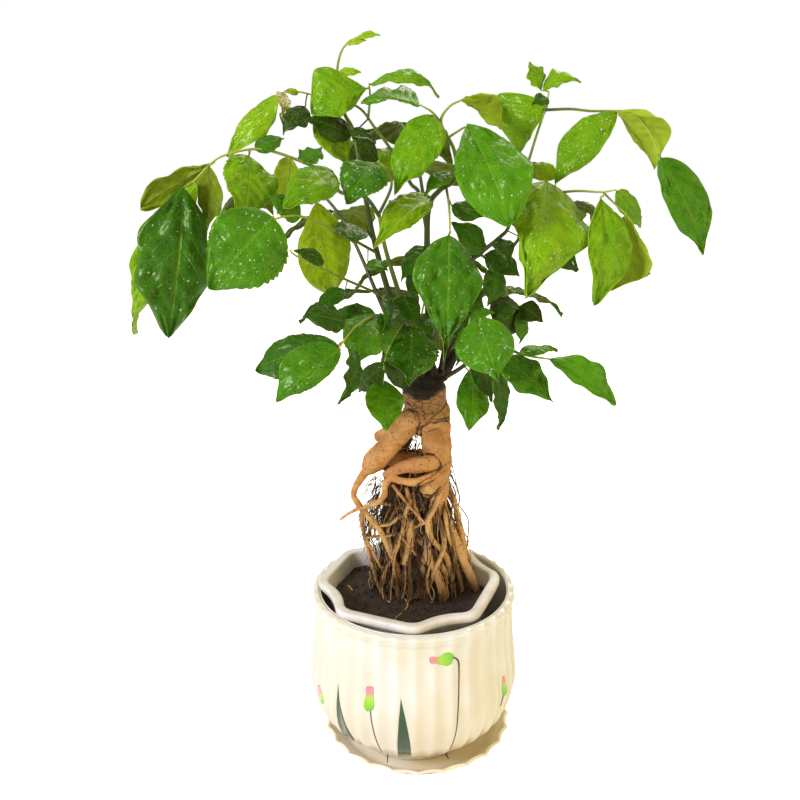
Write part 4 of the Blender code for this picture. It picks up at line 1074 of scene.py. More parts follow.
def cone_line(rng, lowest, highest, wander_mm, bulge_mm):
    """A line that leaves the trunk, follows the cone of roots down and ends in the soil."""
    turn = math.tau * rng.random()
    start_height = lowest + (highest - lowest) * rng.random() ** 1.3
    lean = (242 - start_height) / 92
    out = Vector((math.cos(turn), math.sin(turn) * 0.72, 0.0))
    middle = sight(CONE_MIDDLE - CONE_LEAN * lean, 480, 0)
    top = Vector((middle.x, 0.004, start_height * MM)) + out * (7 + 12 * lean) * MM
    foot = ROOT_FOOT + Vector((-6.0, 0.0, 0.0)) * MM + out * 36 * rng.uniform(0.55, 1.08) * MM
    foot.z = (SOIL_TOP - 1.0) * MM
    belly = out * rng.uniform(0.0, bulge_mm) * MM
    points = [top]
    for share, part in ((0.15, 0.7), (0.32, 1.0), (0.5, 1.0), (0.68, 0.8), (0.85, 0.4)):
        points.append(top.lerp(foot, share) + belly * part)
    return curve_through(wandering(points + [foot], wander_mm, rng), 4)


root_rng = random.Random(11)
roots_bm = new_bmesh()
add_limbs(roots_bm, ROOTS[1:], True, 12, 0.20, 0.12)
add_limbs(roots_bm, CROSS_ROOTS[THICK_CROSS_ROOTS:], False, 10, 0.20, 0.12)
add_limbs(roots_bm, THIN_ROOTS, False, 10, 0.22, 0.18)
# The root ball and the wood behind the legs take the full crease colour: painted deep shade between the roots.
add_limbs(roots_bm, [CORE], True, 20, 0.20, 1.0)
add_limbs(roots_bm, SHADED_WOOD, False, 16, 0.25, 1.0)
for index in range(MID_ROOTS):
    line = cone_line(root_rng, 160, 236, 3.4, 8.0)
    size = root_rng.uniform(0.6, 1.5)
    add_tube(
        roots_bm,
        line,
        knobbly(line, taper(len(line), size, size * 0.7), 0.25, index),
        8,
        root_rng.choice((0.15, 0.35, 0.6)),
    )
roots_bm.normal_update()
root_tone = roots_bm.verts.layers.float["tone"]
# Painted shade on the undersides of the roots.
for vert in roots_bm.verts:
    vert[root_tone] = min(vert[root_tone] + dirt_and_shade(vert, 0.62), 1.0)
roots = finish_piece("roots", roots_bm, [bark], "bark", "trunk_and_roots")

# %% [markdown]
# ## Fibrous roots
# Between the thick roots hangs a tangle of hair-fine ones. A plant like this has hundreds. Here each is a thin stem
# that leaves the trunk, wanders down around the cone of roots and goes into the soil, and a few hang loose. A seeded
# random generator draws them, so the tangle is the same in every run.

# %% Fibrous root mesh
root_fibre, tree, shader = new_material("root_fibre")
shade = add_node(tree, "ShaderNodeAttribute", attribute_name="tone").outputs["Fac"]
streak = noise_of(tree, object_place(tree), 700.0, 3.0)
base = ramp(
    tree,
    calc(tree, "MULTIPLY_ADD", streak, 0.3, shade),
    [(0.20, linear(26, 17, 10)), (0.65, linear(62, 40, 22)), (0.95, linear(140, 96, 52)), (1.0, linear(196, 150, 92))],
)
set_shader(
    tree,
    shader,
    {"Base Color": base, "Roughness": calc(tree, "MULTIPLY_ADD", streak, 0.2, 0.55), "Normal": bumped(tree, streak, 0.4, 0.3)},
)

fibre_rng = random.Random(5)
fibre_bm = new_bmesh()
FIBRES = 250
# Each patch of loose hairs: its box in pixels, how many, how far a hair runs aside and down in pixels, and how far
# behind the axis it may lie.
HAIR_PATCHES = [
    ((374, 474, 408, 505), 130, (-26, 2), 46, (-8, 8)),
    ((364, 500, 396, 530), 60, (-8, 12), 42, (-8, 8)),
    ((392, 484, 436, 530), 90, (-12, 12), 30, (-14, -4)),
    ((438, 478, 456, 540), 60, (-2, 9), 34, (-8, 8)),
    ((368, 540, 400, 580), 50, (-9, 9), 24, (-10, 4)),
    ((402, 428, 412, 450), 34, (-6, 12), 10, (-2, 8)),
    ((406, 448, 424, 456), 40, (-12, 8), 6, (-2, 8)),
    ((409, 430, 420, 446), 12, (-6, 8), 14, (-2, 6)),
    ((447, 452, 450, 480), 26, (1, 5), 6, (-2, 4)),
]


for index in range(FIBRES):
    line = cone_line(fibre_rng, 150, 242, 4.2, 9.0)
    size = fibre_rng.uniform(0.20, 0.6)
    add_tube(fibre_bm, line, taper(len(line), size, size * 0.6), 5, fibre_rng.random() ** 1.7)
for (left, top, right, bottom), count, aside, down, depths in HAIR_PATCHES:
    for _ in range(count):
        px = fibre_rng.uniform(left, right)
        py = fibre_rng.uniform(top, bottom)
        depth = fibre_rng.uniform(*depths)
        start = sight(px, py, depth)
        end = sight(
            px + fibre_rng.uniform(*aside),
            py + fibre_rng.uniform(0.2, 1.0) * down,
            depth + fibre_rng.uniform(-5, 5),
        )
        points = [start.lerp(end, share) for share in (0.0, 0.25, 0.5, 0.75, 1.0)]
        line = curve_through(wandering(points, 0.08 * (end - start).length / MM, fibre_rng), 4)
        size = fibre_rng.uniform(0.24, 0.50)
        add_tube(fibre_bm, line, taper(len(line), size, size * 0.6), 4, 0.1 + 0.8 * fibre_rng.random())

SOIL_ROOTLETS = [
    [(404, 598), (408, 605), (403, 611), (396, 617), (395, 621)],
    [(348, 585), (351, 588), (353, 591)],
    [(384, 596), (389, 602), (392, 598)],
]
for pixels in SOIL_ROOTLETS:
    points = [sight_to_height(px, py, SOIL_TOP + 1.0) for px, py in pixels]
    for point in points:
        point.z = soil_height(point) * MM + 0.3 * MM
    line = curve_through(points, 4)
    add_tube(fibre_bm, line, taper(len(line), 0.55, 0.25), 6, 0.9)
fibrous_roots = finish_piece("fibrous_roots", fibre_bm, [root_fibre], "bark")

# %% [markdown]
# ## Leaf finish
# A china doll leaf is a thin glossy blade. A pale midrib runs to the tip, side veins curve forward to the margin, and a
# fine net joins them. The pattern is drawn in the blade's own UV map: one axis runs from base to tip, the other from
# edge to edge. One group makes the veins, and the upper face and the underside each use it with their own colours.
# A number on each leaf, its tone, takes it from the nearly black green of old leaves to the lime of young ones. The far
# leaflets' low tones also paint the shade inside the foliage.

# %% Vein group
VEIN_PAIRS = 7.0
VEIN_SWEEP = 0.30

vein_group, vein_in, vein_out = start_group(
    "leaf_veins",
    [("Place", "NodeSocketVector")],
    [
        ("Veins", "NodeSocketFloat"),
        ("Midrib", "NodeSocketFloat"),
        ("Net", "NodeSocketFloat"),
        ("Mottle", "NodeSocketFloat"),
        ("Edge", "NodeSocketFloat"),
        ("Beads", "NodeSocketFloat"),
    ],
)
tree = vein_group
blade = add_node(tree, "ShaderNodeSeparateXYZ", {"Vector": add_node(tree, "ShaderNodeUVMap", uv_map="UVMap").outputs["UV"]})
across = calc(tree, "ABSOLUTE", calc(tree, "MULTIPLY_ADD", blade.outputs["X"], 2.0, -1.0))
sweep = calc(tree, "MULTIPLY", calc(tree, "POWER", across, 1.25), -VEIN_SWEEP)
along = calc(tree, "ADD", blade.outputs["Y"], sweep)
wobble = noise_of(tree, vein_in.outputs["Place"], 120.0, 2.0)
along = calc(tree, "MULTIPLY_ADD", wobble, 0.030, along)
cycle = calc(tree, "FRACT", calc(tree, "MULTIPLY", along, VEIN_PAIRS))
distance = calc(tree, "MULTIPLY", calc(tree, "ABSOLUTE", calc(tree, "SUBTRACT", cycle, 0.5)), 2.0)
veins = calc(tree, "MULTIPLY", between(tree, distance, 0.86, 0.99), calc(tree, "SUBTRACT", 1.0, between(tree, across, 0.62, 0.98)))
midrib = calc(tree, "SUBTRACT", 1.0, between(tree, across, 0.015, 0.055))
net = add_node(
    tree,
    "ShaderNodeTexVoronoi",
    {"Vector": vein_in.outputs["Place"], "Scale": 900.0},
    feature="DISTANCE_TO_EDGE",
)
tree.links.new(veins, vein_out.inputs["Veins"])
tree.links.new(midrib, vein_out.inputs["Midrib"])
tree.links.new(between(tree, net.outputs["Distance"], 0.02, 0.16), vein_out.inputs["Net"])
tree.links.new(noise_of(tree, vein_in.outputs["Place"], 75.0, 4.0, 0.6), vein_out.inputs["Mottle"])
tree.links.new(between(tree, across, 0.90, 1.0), vein_out.inputs["Edge"])
wet = add_node(tree, "ShaderNodeTexVoronoi", {"Vector": vein_in.outputs["Place"], "Scale": 480.0})
bead = calc(tree, "SUBTRACT", 1.0, between(tree, wet.outputs["Distance"], 0.12, 0.34))
sprayed = between(tree, noise_of(tree, vein_in.outputs["Place"], 60.0, 2.0), 0.44, 0.58)
tree.links.new(calc(tree, "MULTIPLY", bead, sprayed), vein_out.inputs["Beads"])


# %% Leaf materials
TOP_STOPS = [
    (0.00, linear(22, 50, 4)),
    (0.25, linear(34, 98, 3)),
    (0.50, linear(76, 144, 2)),
    (0.72, linear(124, 172, 3)),
    (0.95, linear(160, 194, 5)),
    (1.00, linear(156, 146, 44)),
]
UNDER_STOPS = [
    (0.00, linear(36, 56, 14)),
    (0.25, linear(72, 92, 24)),
    (0.50, linear(128, 150, 16)),
    (0.75, linear(160, 186, 48)),
    (1.00, linear(190, 202, 70)),
]


def leaf_face(name, stops, vein_colour, vein_share, shine):
    """One face of the leaves. Shine is its roughness, coat weight, bump strength, height of beads and gloss."""
    rough, coat, relief, beads, gloss = shine
    material, tree, shader = new_material(name)
    group = add_node(tree, "ShaderNodeGroup", node_tree=vein_group)
    tree.links.new(object_place(tree), group.inputs["Place"])
    tone = add_node(tree, "ShaderNodeAttribute", attribute_name="tone").outputs["Fac"]
    mottle = calc(tree, "MULTIPLY_ADD", group.outputs["Mottle"], 0.36, -0.18)
    base = ramp(tree, calc(tree, "ADD", tone, mottle), stops)
    base = mixed(tree, calc(tree, "MULTIPLY", group.outputs["Veins"], vein_share), base, vein_colour)
    base = mixed(tree, calc(tree, "MULTIPLY", group.outputs["Midrib"], vein_share * 1.6), base, vein_colour)
    net = calc(tree, "MULTIPLY", calc(tree, "SUBTRACT", 1.0, group.outputs["Net"]), 0.05)
    base = mixed(tree, net, base, vein_colour)
    base = mixed(tree, calc(tree, "MULTIPLY", group.outputs["Edge"], 0.18), base, vein_colour)
    height = calc(tree, "MULTIPLY_ADD", group.outputs["Veins"], -0.8, calc(tree, "MULTIPLY", group.outputs["Net"], 0.35))
    height = calc(tree, "MULTIPLY_ADD", group.outputs["Midrib"], -1.0, height)
    height = calc(tree, "MULTIPLY_ADD", group.outputs["Mottle"], 1.2, height)
    height = calc(tree, "MULTIPLY_ADD", group.outputs["Beads"], beads, height)
    set_shader(
        tree,
        shader,
        {
            "Base Color": base,
            "Roughness": calc(tree, "MULTIPLY_ADD", group.outputs["Mottle"], 0.22, rough),
            "Normal": bumped(tree, height, relief, 0.5),
            "Coat Weight": coat,
            "Coat Roughness": 0.10,
            "IOR": 1.45,
            "Specular IOR Level": gloss,
            "Specular Tint": LEAF_SHEEN,
        },
    )
    return material


LEAF_SHEEN = (0.96, 1.0, 0.40, 1.0)
leaf_top = leaf_face("leaf_top", TOP_STOPS, linear(150, 196, 40), 0.12, (0.16, 0.08, 0.70, 2.6, 0.48))
leaf_under = leaf_face("leaf_underside", UNDER_STOPS, linear(190, 200, 90), 0.26, (0.46, 0.0, -0.6, 0.0, 0.25))

# %% Stem material
stem_skin, tree, shader = new_material("stem_skin")
age = add_node(tree, "ShaderNodeAttribute", attribute_name="tone").outputs["Fac"]
place = object_place(tree)
dapple = noise_of(tree, stretched(tree, place, (260.0, 260.0, 90.0)), 1.0, 4.0)
base = ramp(
    tree,
    calc(tree, "MULTIPLY_ADD", dapple, 0.24, age),
    [
        (0.10, linear(52, 44, 28)),
        (0.35, linear(58, 66, 30)),
        (0.60, linear(78, 104, 32)),
        (0.85, linear(140, 160, 46)),
        (1.05, linear(178, 186, 66)),
    ],
)
set_shader(
    tree,
    shader,
    {"Base Color": base, "Roughness": calc(tree, "MULTIPLY_ADD", dapple, 0.25, 0.34), "Normal": bumped(tree, dapple, 0.3, 0.3)},
)

# %% [markdown]
# ## Leafy stems
# Each leafy stem is one piece, as it is one solid in the frame: a stem, its thin branches, and the leaflets on them.
# A leaflet is given by the pixels of its base and its tip, how far behind the pot's axis these lie, its width as seen,
# how far it is turned away from the eye, and how much it arches. The last three numbers are its tone, the kind of
# margin, and how many water drops lie on it. Because the solids had to keep clear of each other, some leaflets were
# swung a little along the line of sight. The solid itself tells by how much: of all swings, the right one is where the
# blade's points lie inside the solid's skin.

# %% Tables of stems and leaflets
# Rows of a stem: pixel x, pixel y and distance behind the axis. The two numbers after them are the radii at its ends.
STEMS = {
    "leafy_stem_left": [
        ([(413, 368, 2), (404, 330, 4), (388, 290, 6), (374, 240, 8), (365, 195, 10), (354, 134, 18), (344, 112, 27), (337, 78, 30), (342, 50, 30), (357, 37, 28)], 3.0, 0.8),
        ([(377, 253, 7), (340, 233, -25), (300, 216, -60), (271, 220, -86)], 1.3, 0.9),
        ([(391, 299, 5), (349, 281, -25), (300, 258, -57), (290, 250, -63)], 1.2, 0.8),
        ([(402, 324, 4), (380, 316, -38), (356, 326, -70), (338, 350, -92)], 1.3, 0.8),
    ],
    "leafy_stem_upper_left": [
        ([(420, 367, -8), (408, 320, -9), (397, 287, -10), (385, 247, -12), (379, 214, -15)], 2.5, 1.9),
        ([(379, 216, -15), (365, 197, -18), (340, 192, -25), (334, 177, -28), (305, 163, -34), (275, 152, -41), (255, 149, -44), (232, 153, -50), (214, 161, -54), (192, 183, -63)], 1.6, 0.8),
        ([(379, 214, -15), (391, 188, -12), (389, 172, -15), (380, 163, -22)], 1.3, 0.9),
        ([(407, 318, -9), (398, 330, -28), (386, 356, -34), (383, 386, -28)], 1.3, 0.8),
    ],
    "leafy_stem_top": [
        ([(430, 366, 8), (430, 300, 13), (428, 243, 16), (420, 196, 18), (411, 184, 19), (402, 168, 20), (395, 155, 21), (375, 128, 22), (358, 107, 24), (330, 100, 26), (300, 92, 28), (282, 93, 30)], 2.0, 0.8),
        ([(368, 119, 22), (370, 98, 24), (369, 83, 24)], 1.1, 0.8),
    ],
    "leafy_stem_middle": [
        ([(432, 367, -4), (429, 330, -3), (428, 300, -2), (427, 243, 0), (429, 206, 0), (440, 190, -2), (456, 178, -4), (454, 150, -2), (441, 123, 0), (449, 107, 0), (462, 100, 2)], 3.2, 0.9),
        ([(446, 186, -3), (449, 206, -17), (450, 232, -38)], 1.1, 0.9),
        ([(441, 123, 0), (432, 112, -4), (422, 106, -6)], 1.1, 0.8),
        ([(428, 292, -2), (424, 304, -6), (421, 318, -8)], 1.1, 0.8),
    ],
    "leafy_stem_right": [
        ([(441, 369, 4), (450, 320, 5), (460, 272, 6), (478, 255, 7), (500, 237, 8), (509, 226, 8), (520, 190, 8), (535, 140, 8), (545, 110, 8), (549, 92, 9)], 2.4, 0.8),
        ([(545, 110, 8), (570, 109, 6), (591, 111, 4), (612, 111, 2), (632, 113, 0), (648, 131, 0), (659, 154, 0)], 1.2, 0.8),
        ([(518, 196, 8), (545, 194, -6), (576, 191, -15), (601, 192, -22), (615, 190, -25)], 1.3, 0.8),
        ([(603, 192, -22), (613, 202, -23), (626, 214, -25)], 0.9, 0.8),
        ([(480, 254, 7), (500, 272, 14), (508, 296, 18), (521, 312, 20)], 1.1, 0.8),
    ],
    "leafy_stem_low_right": [
        ([(446, 377, -8), (462, 367, -15), (478, 352, -34), (500, 345, -54), (518, 353, -63), (535, 357, -66), (549, 359, -66)], 2.0, 0.9),
        ([(476, 354, -31), (476, 340, -57), (479, 325, -79)], 1.0, 0.8),
        ([(464, 366, -17), (466, 340, -15), (470, 318, -12)], 1.0, 0.8),
    ],
}

# A leaflet's outline: how much wider it is on the picture's right, how far along it is widest, how blunt its tip is.
OVAL = (0.0, 0.38, 0.0)

LEAFLETS = [
    ("leafy_stem_left", 337, 74, 29, 361, 72, 24, 8, 30, 0.12, (0, 0.45, 0.3), 0.8, 0, 0),
    ("leafy_stem_left", 346, 44, 29, 366, 40, 26, 6, 40, 0.10, (0, 0.5, 0.3), 0.85, 0, 0),
    ("leafy_stem_left", 357, 38, 28, 380, 35, 24, 6, 40, 0.12, (0, 0.5, 0.3), 0.85, 0, 0),
    ("leafy_stem_left", 350, 130, 18, 376, 143, 14, 12, 35, 0.12, OVAL, 0.05, 0, 0),
    ("leafy_stem_left", 377, 163, 12, 353, 136, 4, 20, 30, 0.10, (0, 0.42, 0.2), 0.08, 0, 0),
    ("leafy_stem_left", 273, 217, -86, 209, 289, -98, 78, 8, 0.10, (0.05, 0.38, 0.45), 0.38, 1, 60),
    ("leafy_stem_left", 301, 217, -60, 268, 196, -70, 22, 40, 0.10, OVAL, 0.4, 0, 0),
    ("leafy_stem_left", 336, 231, -28, 373, 236, -18, 16, 65, 0.10, OVAL, 0.15, 0, 0),
    ("leafy_stem_left", 368, 262, -6, 388, 270, -15, 14, 50, 0.08, OVAL, 0.35, 0, 0),
    ("leafy_stem_left", 324, 262, -44, 294, 250, -52, 14, 35, 0.10, OVAL, 0.12, 0, 0),
    ("leafy_stem_left", 345, 290, -28, 316, 312, -41, 18, 40, 0.12, OVAL, 0.2, 0, 0),
    ("leafy_stem_left", 340, 350, -92, 276, 402, -108, 44, 12, 0.14, (-0.35, 0.42, 0.3), 0.38, 1, 16),
    ("leafy_stem_left", 380, 314, -41, 350, 369, -82, 50, 10, 0.14, OVAL, 0.46, 1, 16),
    ("leafy_stem_left", 345, 323, -79, 303, 316, -86, 26, 35, 0.10, OVAL, 0.1, 1, 0),
    ("leafy_stem_left", 338, 345, -82, 256, 371, -66, 42, 25, 0.12, (0, 0.5, 0.4), 0.2, 1, 0),
    ("leafy_stem_left", 357, 352, -73, 339, 404, -70, 18, 45, 0.10, OVAL, 0.15, 2, 0),
    ("leafy_stem_left", 375, 318, -41, 330, 318, -25, 22, 30, 0.10, OVAL, 0.25, 2, 0),
    ("leafy_stem_upper_left", 184, 188, -63, 169, 338, -86, 72, 8, 0.08, (-0.08, 0.5, 0.4), 0.25, 2, 40),
    ("leafy_stem_upper_left", 214, 162, -54, 141, 205, -41, 28, 150, 0.02, (0, 0.66, 0.5), 0.46, 2, 0),
    ("leafy_stem_upper_left", 208, 166, -54, 205, 234, -34, 24, 140, 0.10, OVAL, 0.4, 0, 0),
    ("leafy_stem_upper_left", 196, 180, -60, 133, 335, -25, 30, 35, 0.10, OVAL, 0.75, 0, 0),
    ("leafy_stem_upper_left", 249, 156, -42, 243, 215, -66, 50, 20, 0.12, (0.05, 0.45, 0.8), 0.65, 1, 20),
    ("leafy_stem_upper_left", 290, 158, -39, 278, 214, -25, 26, 145, 0.10, OVAL, 0.5, 0, 0),
    ("leafy_stem_upper_left", 256, 150, -44, 284, 138, -31, 16, 40, 0.10, OVAL, 0.3, 0, 0),
    ("leafy_stem_upper_left", 303, 163, -36, 322, 148, -25, 18, 50, 0.10, OVAL, 0.3, 2, 0),
    ("leafy_stem_upper_left", 316, 203, -22, 331, 295, -5, 53, 15, 0.08, (0, 0.55, 0.7), 0.9, 0, 0),
    ("leafy_stem_upper_left", 333, 172, -28, 284, 208, -57, 40, 15, 0.12, (0, 0.42, 0.5), 0.6, 1, 20),
    ("leafy_stem_upper_left", 376, 163, -22, 346, 203, -47, 44, 20, 0.12, (0, 0.4, 0.3), 0.3, 1, 34),
    ("leafy_stem_upper_left", 412, 326, -18, 409, 386, -47, 54, 10, 0.10, OVAL, 0.3, 1, 44),
    ("leafy_stem_upper_left", 382, 385, -30, 387, 430, -47, 38, 15, 0.10, (0, 0.4, 0.3), 0.5, 3, 0),
    ("leafy_stem_upper_left", 385, 366, -33, 358, 392, -25, 22, 30, 0.10, OVAL, 0.08, 0, 0),
    ("leafy_stem_upper_left", 386, 352, -33, 404, 392, -18, 20, 35, 0.10, OVAL, 0.1, 0, 0),
    ("leafy_stem_upper_left", 392, 300, -10, 384, 332, -25, 26, 30, 0.10, OVAL, 0.22, 0, 0),
    ("leafy_stem_upper_left", 402, 296, -10, 416, 328, -22, 24, 35, 0.10, OVAL, 0.2, 0, 0),
    ("leafy_stem_top", 277, 95, 30, 226, 156, 26, 24, 35, 0.02, (0.15, 0.42, 0.3), 0.74, 0, 0),
    ("leafy_stem_top", 281, 93, 30, 282, 116, 24, 13, 30, 0.10, OVAL, 1.15, 0, 0),
    ("leafy_stem_top", 298, 93, 28, 284, 91, 24, 6, 30, 0.15, OVAL, 0.95, 0, 0),
    ("leafy_stem_top", 305, 107, 28, 283, 134, 18, 24, 35, 0.12, OVAL, 0.05, 2, 0),
    ("leafy_stem_top", 368, 88, 24, 311, 112, 16, 48, 20, 0.12, (-0.35, 0.62, 0.3), 0.64, 0, 6),
    ("leafy_stem_top", 371, 84, 24, 439, 98, 20, 12, 62, 0.27, OVAL, 0.6, 0, 0),
    ("leafy_stem_top", 317, 114, 34, 347, 164, 31, 32, 30, 0.12, (0, 0.45, 0.3), 0.78, 0, 0),
    ("leafy_stem_top", 352, 135, 26, 307, 118, 17, 27, 25, 0.05, (0, 0.45, 0.4), 0.05, 0, 0),
    ("leafy_stem_top", 400, 164, 20, 372, 150, 22, 20, 45, 0.12, OVAL, 0.65, 0, 0),
    ("leafy_stem_middle", 419, 105, -6, 361, 103, -2, 17, 68, 0.10, (0.8, 0.45, 0.4), 0.42, 1, 0),
    ("leafy_stem_middle", 433, 116, -4, 394.5, 194, -25, 45, 15, 0.10, (0.05, 0.36, 0.2), 0.6, 1, 20),
    ("leafy_stem_middle", 467, 126, -1, 510, 223, -63, 70, 10, 0.12, (0.1, 0.58, 0.7), 0.48, 0, 44),
    ("leafy_stem_middle", 463, 101, 2, 503, 103, 18, 10, 60, 0.05, OVAL, 0.5, 0, 0),
    ("leafy_stem_middle", 463, 99, 2, 501, 129, 22, 28, 140, 0.12, (0.6, 0.58, 0.1), 0.5, 0, 0),
    ("leafy_stem_middle", 430, 197, -2, 375, 246, -47, 34, 20, 0.12, (-0.2, 0.38, 0.2), 0.72, 1, 6),
    ("leafy_stem_middle", 451, 172, -4, 424, 195, -18, 15, 40, 0.10, OVAL, 0.45, 0, 0),
    ("leafy_stem_middle", 449, 235, -38, 444, 360, -86, 70, 8, 0.08, (0, 0.32, -0.4), 0.33, 4, 60),
    ("leafy_stem_middle", 429, 248, -1, 401, 281, -25, 26, 30, 0.10, OVAL, 0.25, 1, 0),
    ("leafy_stem_middle", 421, 316, -8, 432, 336, -28, 18, 30, 0.10, OVAL, 0.2, 0, 0),
    ("leafy_stem_middle", 452, 206, -6, 485, 216, -14, 22, 30, 0.10, (0, 0.45, 0.3), 0.12, 0, 0),
    ("leafy_stem_right", 546, 103, 8, 520, 153, -4, 50, 20, 0.20, (-0.75, 0.4, 0.35), 0.68, 0, 6),
    ("leafy_stem_right", 543, 90, 9, 581, 82, 4, 16, 35, 0.20, (-0.7, 0.34, 0), 0.7, 2, 0),
    ("leafy_stem_right", 541, 90, 9, 529, 62, 12, 16, 35, 0.12, (0, 0.5, 0), 0.62, 2, 0),
    ("leafy_stem_right", 548, 98, 9, 532, 104, 0, 13, 30, 0.08, OVAL, 0.2, 0, 0),
    ("leafy_stem_right", 617, 112, 2, 555, 183, -8, 37, 15, 0.12, (-0.25, 0.5, 0.2), 0.63, 0, 60),
    ("leafy_stem_right", 618, 112, 1, 655, 167, 12, 34, 150, 0.10, (0.7, 0.45, 0.2), 0.72, 0, 0),
    ("leafy_stem_right", 661, 158, 0, 704, 255, -6, 38, 20, 0.10, (0.2, 0.42, 0.15), 0.38, 0, 0),
    ("leafy_stem_right", 546, 181, -10, 526, 298, -70, 84, 10, 0.12, (0.33, 0.3, 0.3), 0.7, 4, 110),
    ("leafy_stem_right", 601, 198, -22, 596, 305, -47, 42, 30, 0.10, (0.3, 0.5, 0.2), 0.64, 0, 0),
    ("leafy_stem_right", 626, 215, -25, 613, 290, -15, 46, 145, 0.10, (0.3, 0.5, 0.2), 0.62, 0, 0),
    ("leafy_stem_right", 617, 191, -25, 641, 228, -10, 18, 35, 0.10, OVAL, 0.6, 0, 0),
    ("leafy_stem_right", 556, 177, -6, 520, 167, -2, 18, 35, 0.10, OVAL, 0.78, 0, 0),
    ("leafy_stem_right", 548, 252, 8, 577, 272, 10, 14, 35, 0.10, OVAL, 0.08, 0, 0),
    ("leafy_stem_right", 486, 254, 8, 520, 276, 2, 24, 30, 0.10, OVAL, 0.1, 0, 0),
    ("leafy_stem_right", 497, 268, 13, 488, 306, 4, 24, 35, 0.10, OVAL, 0.25, 1, 0),
    ("leafy_stem_right", 508, 296, 18, 494, 324, 8, 26, 30, 0.10, OVAL, 0.05, 0, 0),
    ("leafy_stem_right", 520, 306, 20, 543, 322, 14, 22, 30, 0.10, OVAL, 0.02, 0, 0),
    ("leafy_stem_right", 521, 310, 20, 520, 344, 14, 14, 40, 0.10, OVAL, 0.35, 0, 0),
    ("leafy_stem_right", 484, 250, 7, 452, 222, 0, 26, 30, 0.10, OVAL, 0.35, 0, 0),
    ("leafy_stem_right", 498, 238, 8, 510, 262, -4, 18, 35, 0.10, OVAL, 0.1, 0, 0),
    ("leafy_stem_right", 474, 258, 7, 478, 232, 2, 20, 35, 0.10, OVAL, 0.15, 0, 0),
    ("leafy_stem_right", 462, 270, 6, 470, 300, -4, 22, 35, 0.10, OVAL, 0.15, 0, 0),
    ("leafy_stem_right", 456, 292, 6, 486, 312, 0, 24, 30, 0.10, OVAL, 0.15, 0, 0),
    ("leafy_stem_right", 452, 312, 5, 470, 344, -2, 26, 30, 0.10, OVAL, 0.1, 0, 0),
    ("leafy_stem_right", 466, 262, 6, 448, 292, 8, 24, 40, 0.10, OVAL, 0.2, 0, 0),
    ("leafy_stem_right", 512, 300, 19, 500, 344, 16, 26, 30, 0.10, OVAL, 0.1, 0, 0),
    ("leafy_stem_middle", 428, 280, -2, 452, 304, 4, 24, 35, 0.10, OVAL, 0.2, 0, 0),
    ("leafy_stem_middle", 427, 262, -1, 410, 300, 6, 24, 35, 0.10, OVAL, 0.2, 0, 0),
    ("leafy_stem_low_right", 479, 325, -79, 497, 380, -108, 60, 10, 0.08, OVAL, 0.42, 3, 44),
    ("leafy_stem_low_right", 504, 357, -62, 553, 402, -82, 34, 15, 0.12, OVAL, 0.36, 2, 0),
    ("leafy_stem_low_right", 549, 359, -66, 616, 405, -76, 27, 20, 0.12, (0.45, 0.5, 0.3), 0.46, 2, 0),
    ("leafy_stem_low_right", 520, 353, -63, 558, 350, -50, 10, 60, 0.10, OVAL, 0.45, 0, 0),
    ("leafy_stem_low_right", 472, 375, -20, 469, 430, -47, 33, 15, 0.10, (0.1, 0.45, 0.3), 0.5, 3, 0),
    ("leafy_stem_low_right", 474, 357, -28, 492, 402, -22, 24, 35, 0.10, OVAL, 0.12, 0, 0),
    ("leafy_stem_low_right", 498, 368, -47, 498, 430, -41, 14, 45, 0.10, OVAL, 0.15, 2, 0),
    ("leafy_stem_low_right", 470, 318, -12, 494, 312, -18, 12, 45, 0.10, OVAL, 0.4, 0, 0),
    ("leafy_stem_low_right", 468, 328, -14, 456, 366, -25, 18, 35, 0.10, OVAL, 0.2, 0, 0),
]

# Far stems: millimetres from the origin.
BACK_STEMS = {
    "leafy_stem_back_left": [(-3, 14, 290), (-22, 42, 330), (-55, 84, 392), (-92, 112, 420), (-118, 120, 414)],
    "leafy_stem_back_middle": [(6, 17, 292), (12, 52, 350), (4, 98, 425), (-10, 132, 456), (-24, 150, 452)],
    "leafy_stem_back_right": [(17, 13, 291), (44, 44, 332), (86, 80, 384), (122, 98, 400), (144, 100, 392)],
    "leafy_stem_back_low": [(8, 19, 287), (14, 54, 304), (20, 94, 316), (18, 126, 306), (10, 146, 292)],
}
BACK_PAIRS = 4
BACK_LENGTH = 62.0
BACK_SEED = 11

# %% The shape of a leaflet
SMOOTH = 0
TOOTHED = 1
LOBED = 2
HEART = 3
KITE = 4
BLADE_THICK = 0.45
LARGE_STATIONS = [0.09, 0.25, 0.44, 0.65, 0.85]
MEDIUM_STATIONS = [0.12, 0.34, 0.60, 0.84]
SMALL_STATIONS = [0.16, 0.46, 0.78]
SWINGS = [0, 4, -4, 8, -8, 12, -12, 17, -17, 23, -23, 30, -30, 38, -38, 47, -47]
MOST_APART = 1.2


def leaf_form(s, widest, blunt):
    """Half the width of a leaflet at this share of its length, from 0 to 1."""
    if not 0 < s < 1:
        return 0.0
    body = math.sin(math.pi * s ** (math.log(0.5) / math.log(widest))) ** (0.85 - 0.35 * blunt)
    tail = min(max((s - 0.66) / 0.26, 0.0), 1.0)
    return body * (1 - 0.42 * (1 - blunt) * tail * tail * (3 - 2 * tail))


def reach_of(leaf, s, u):
    """How far the margin stands from the midrib here, on the side that u is on."""
    half = leaf[4]
    lean, widest, blunt = leaf[9]
    return half * leaf_form(s, widest, blunt) * (1 + (lean if u > 0 else -lean))


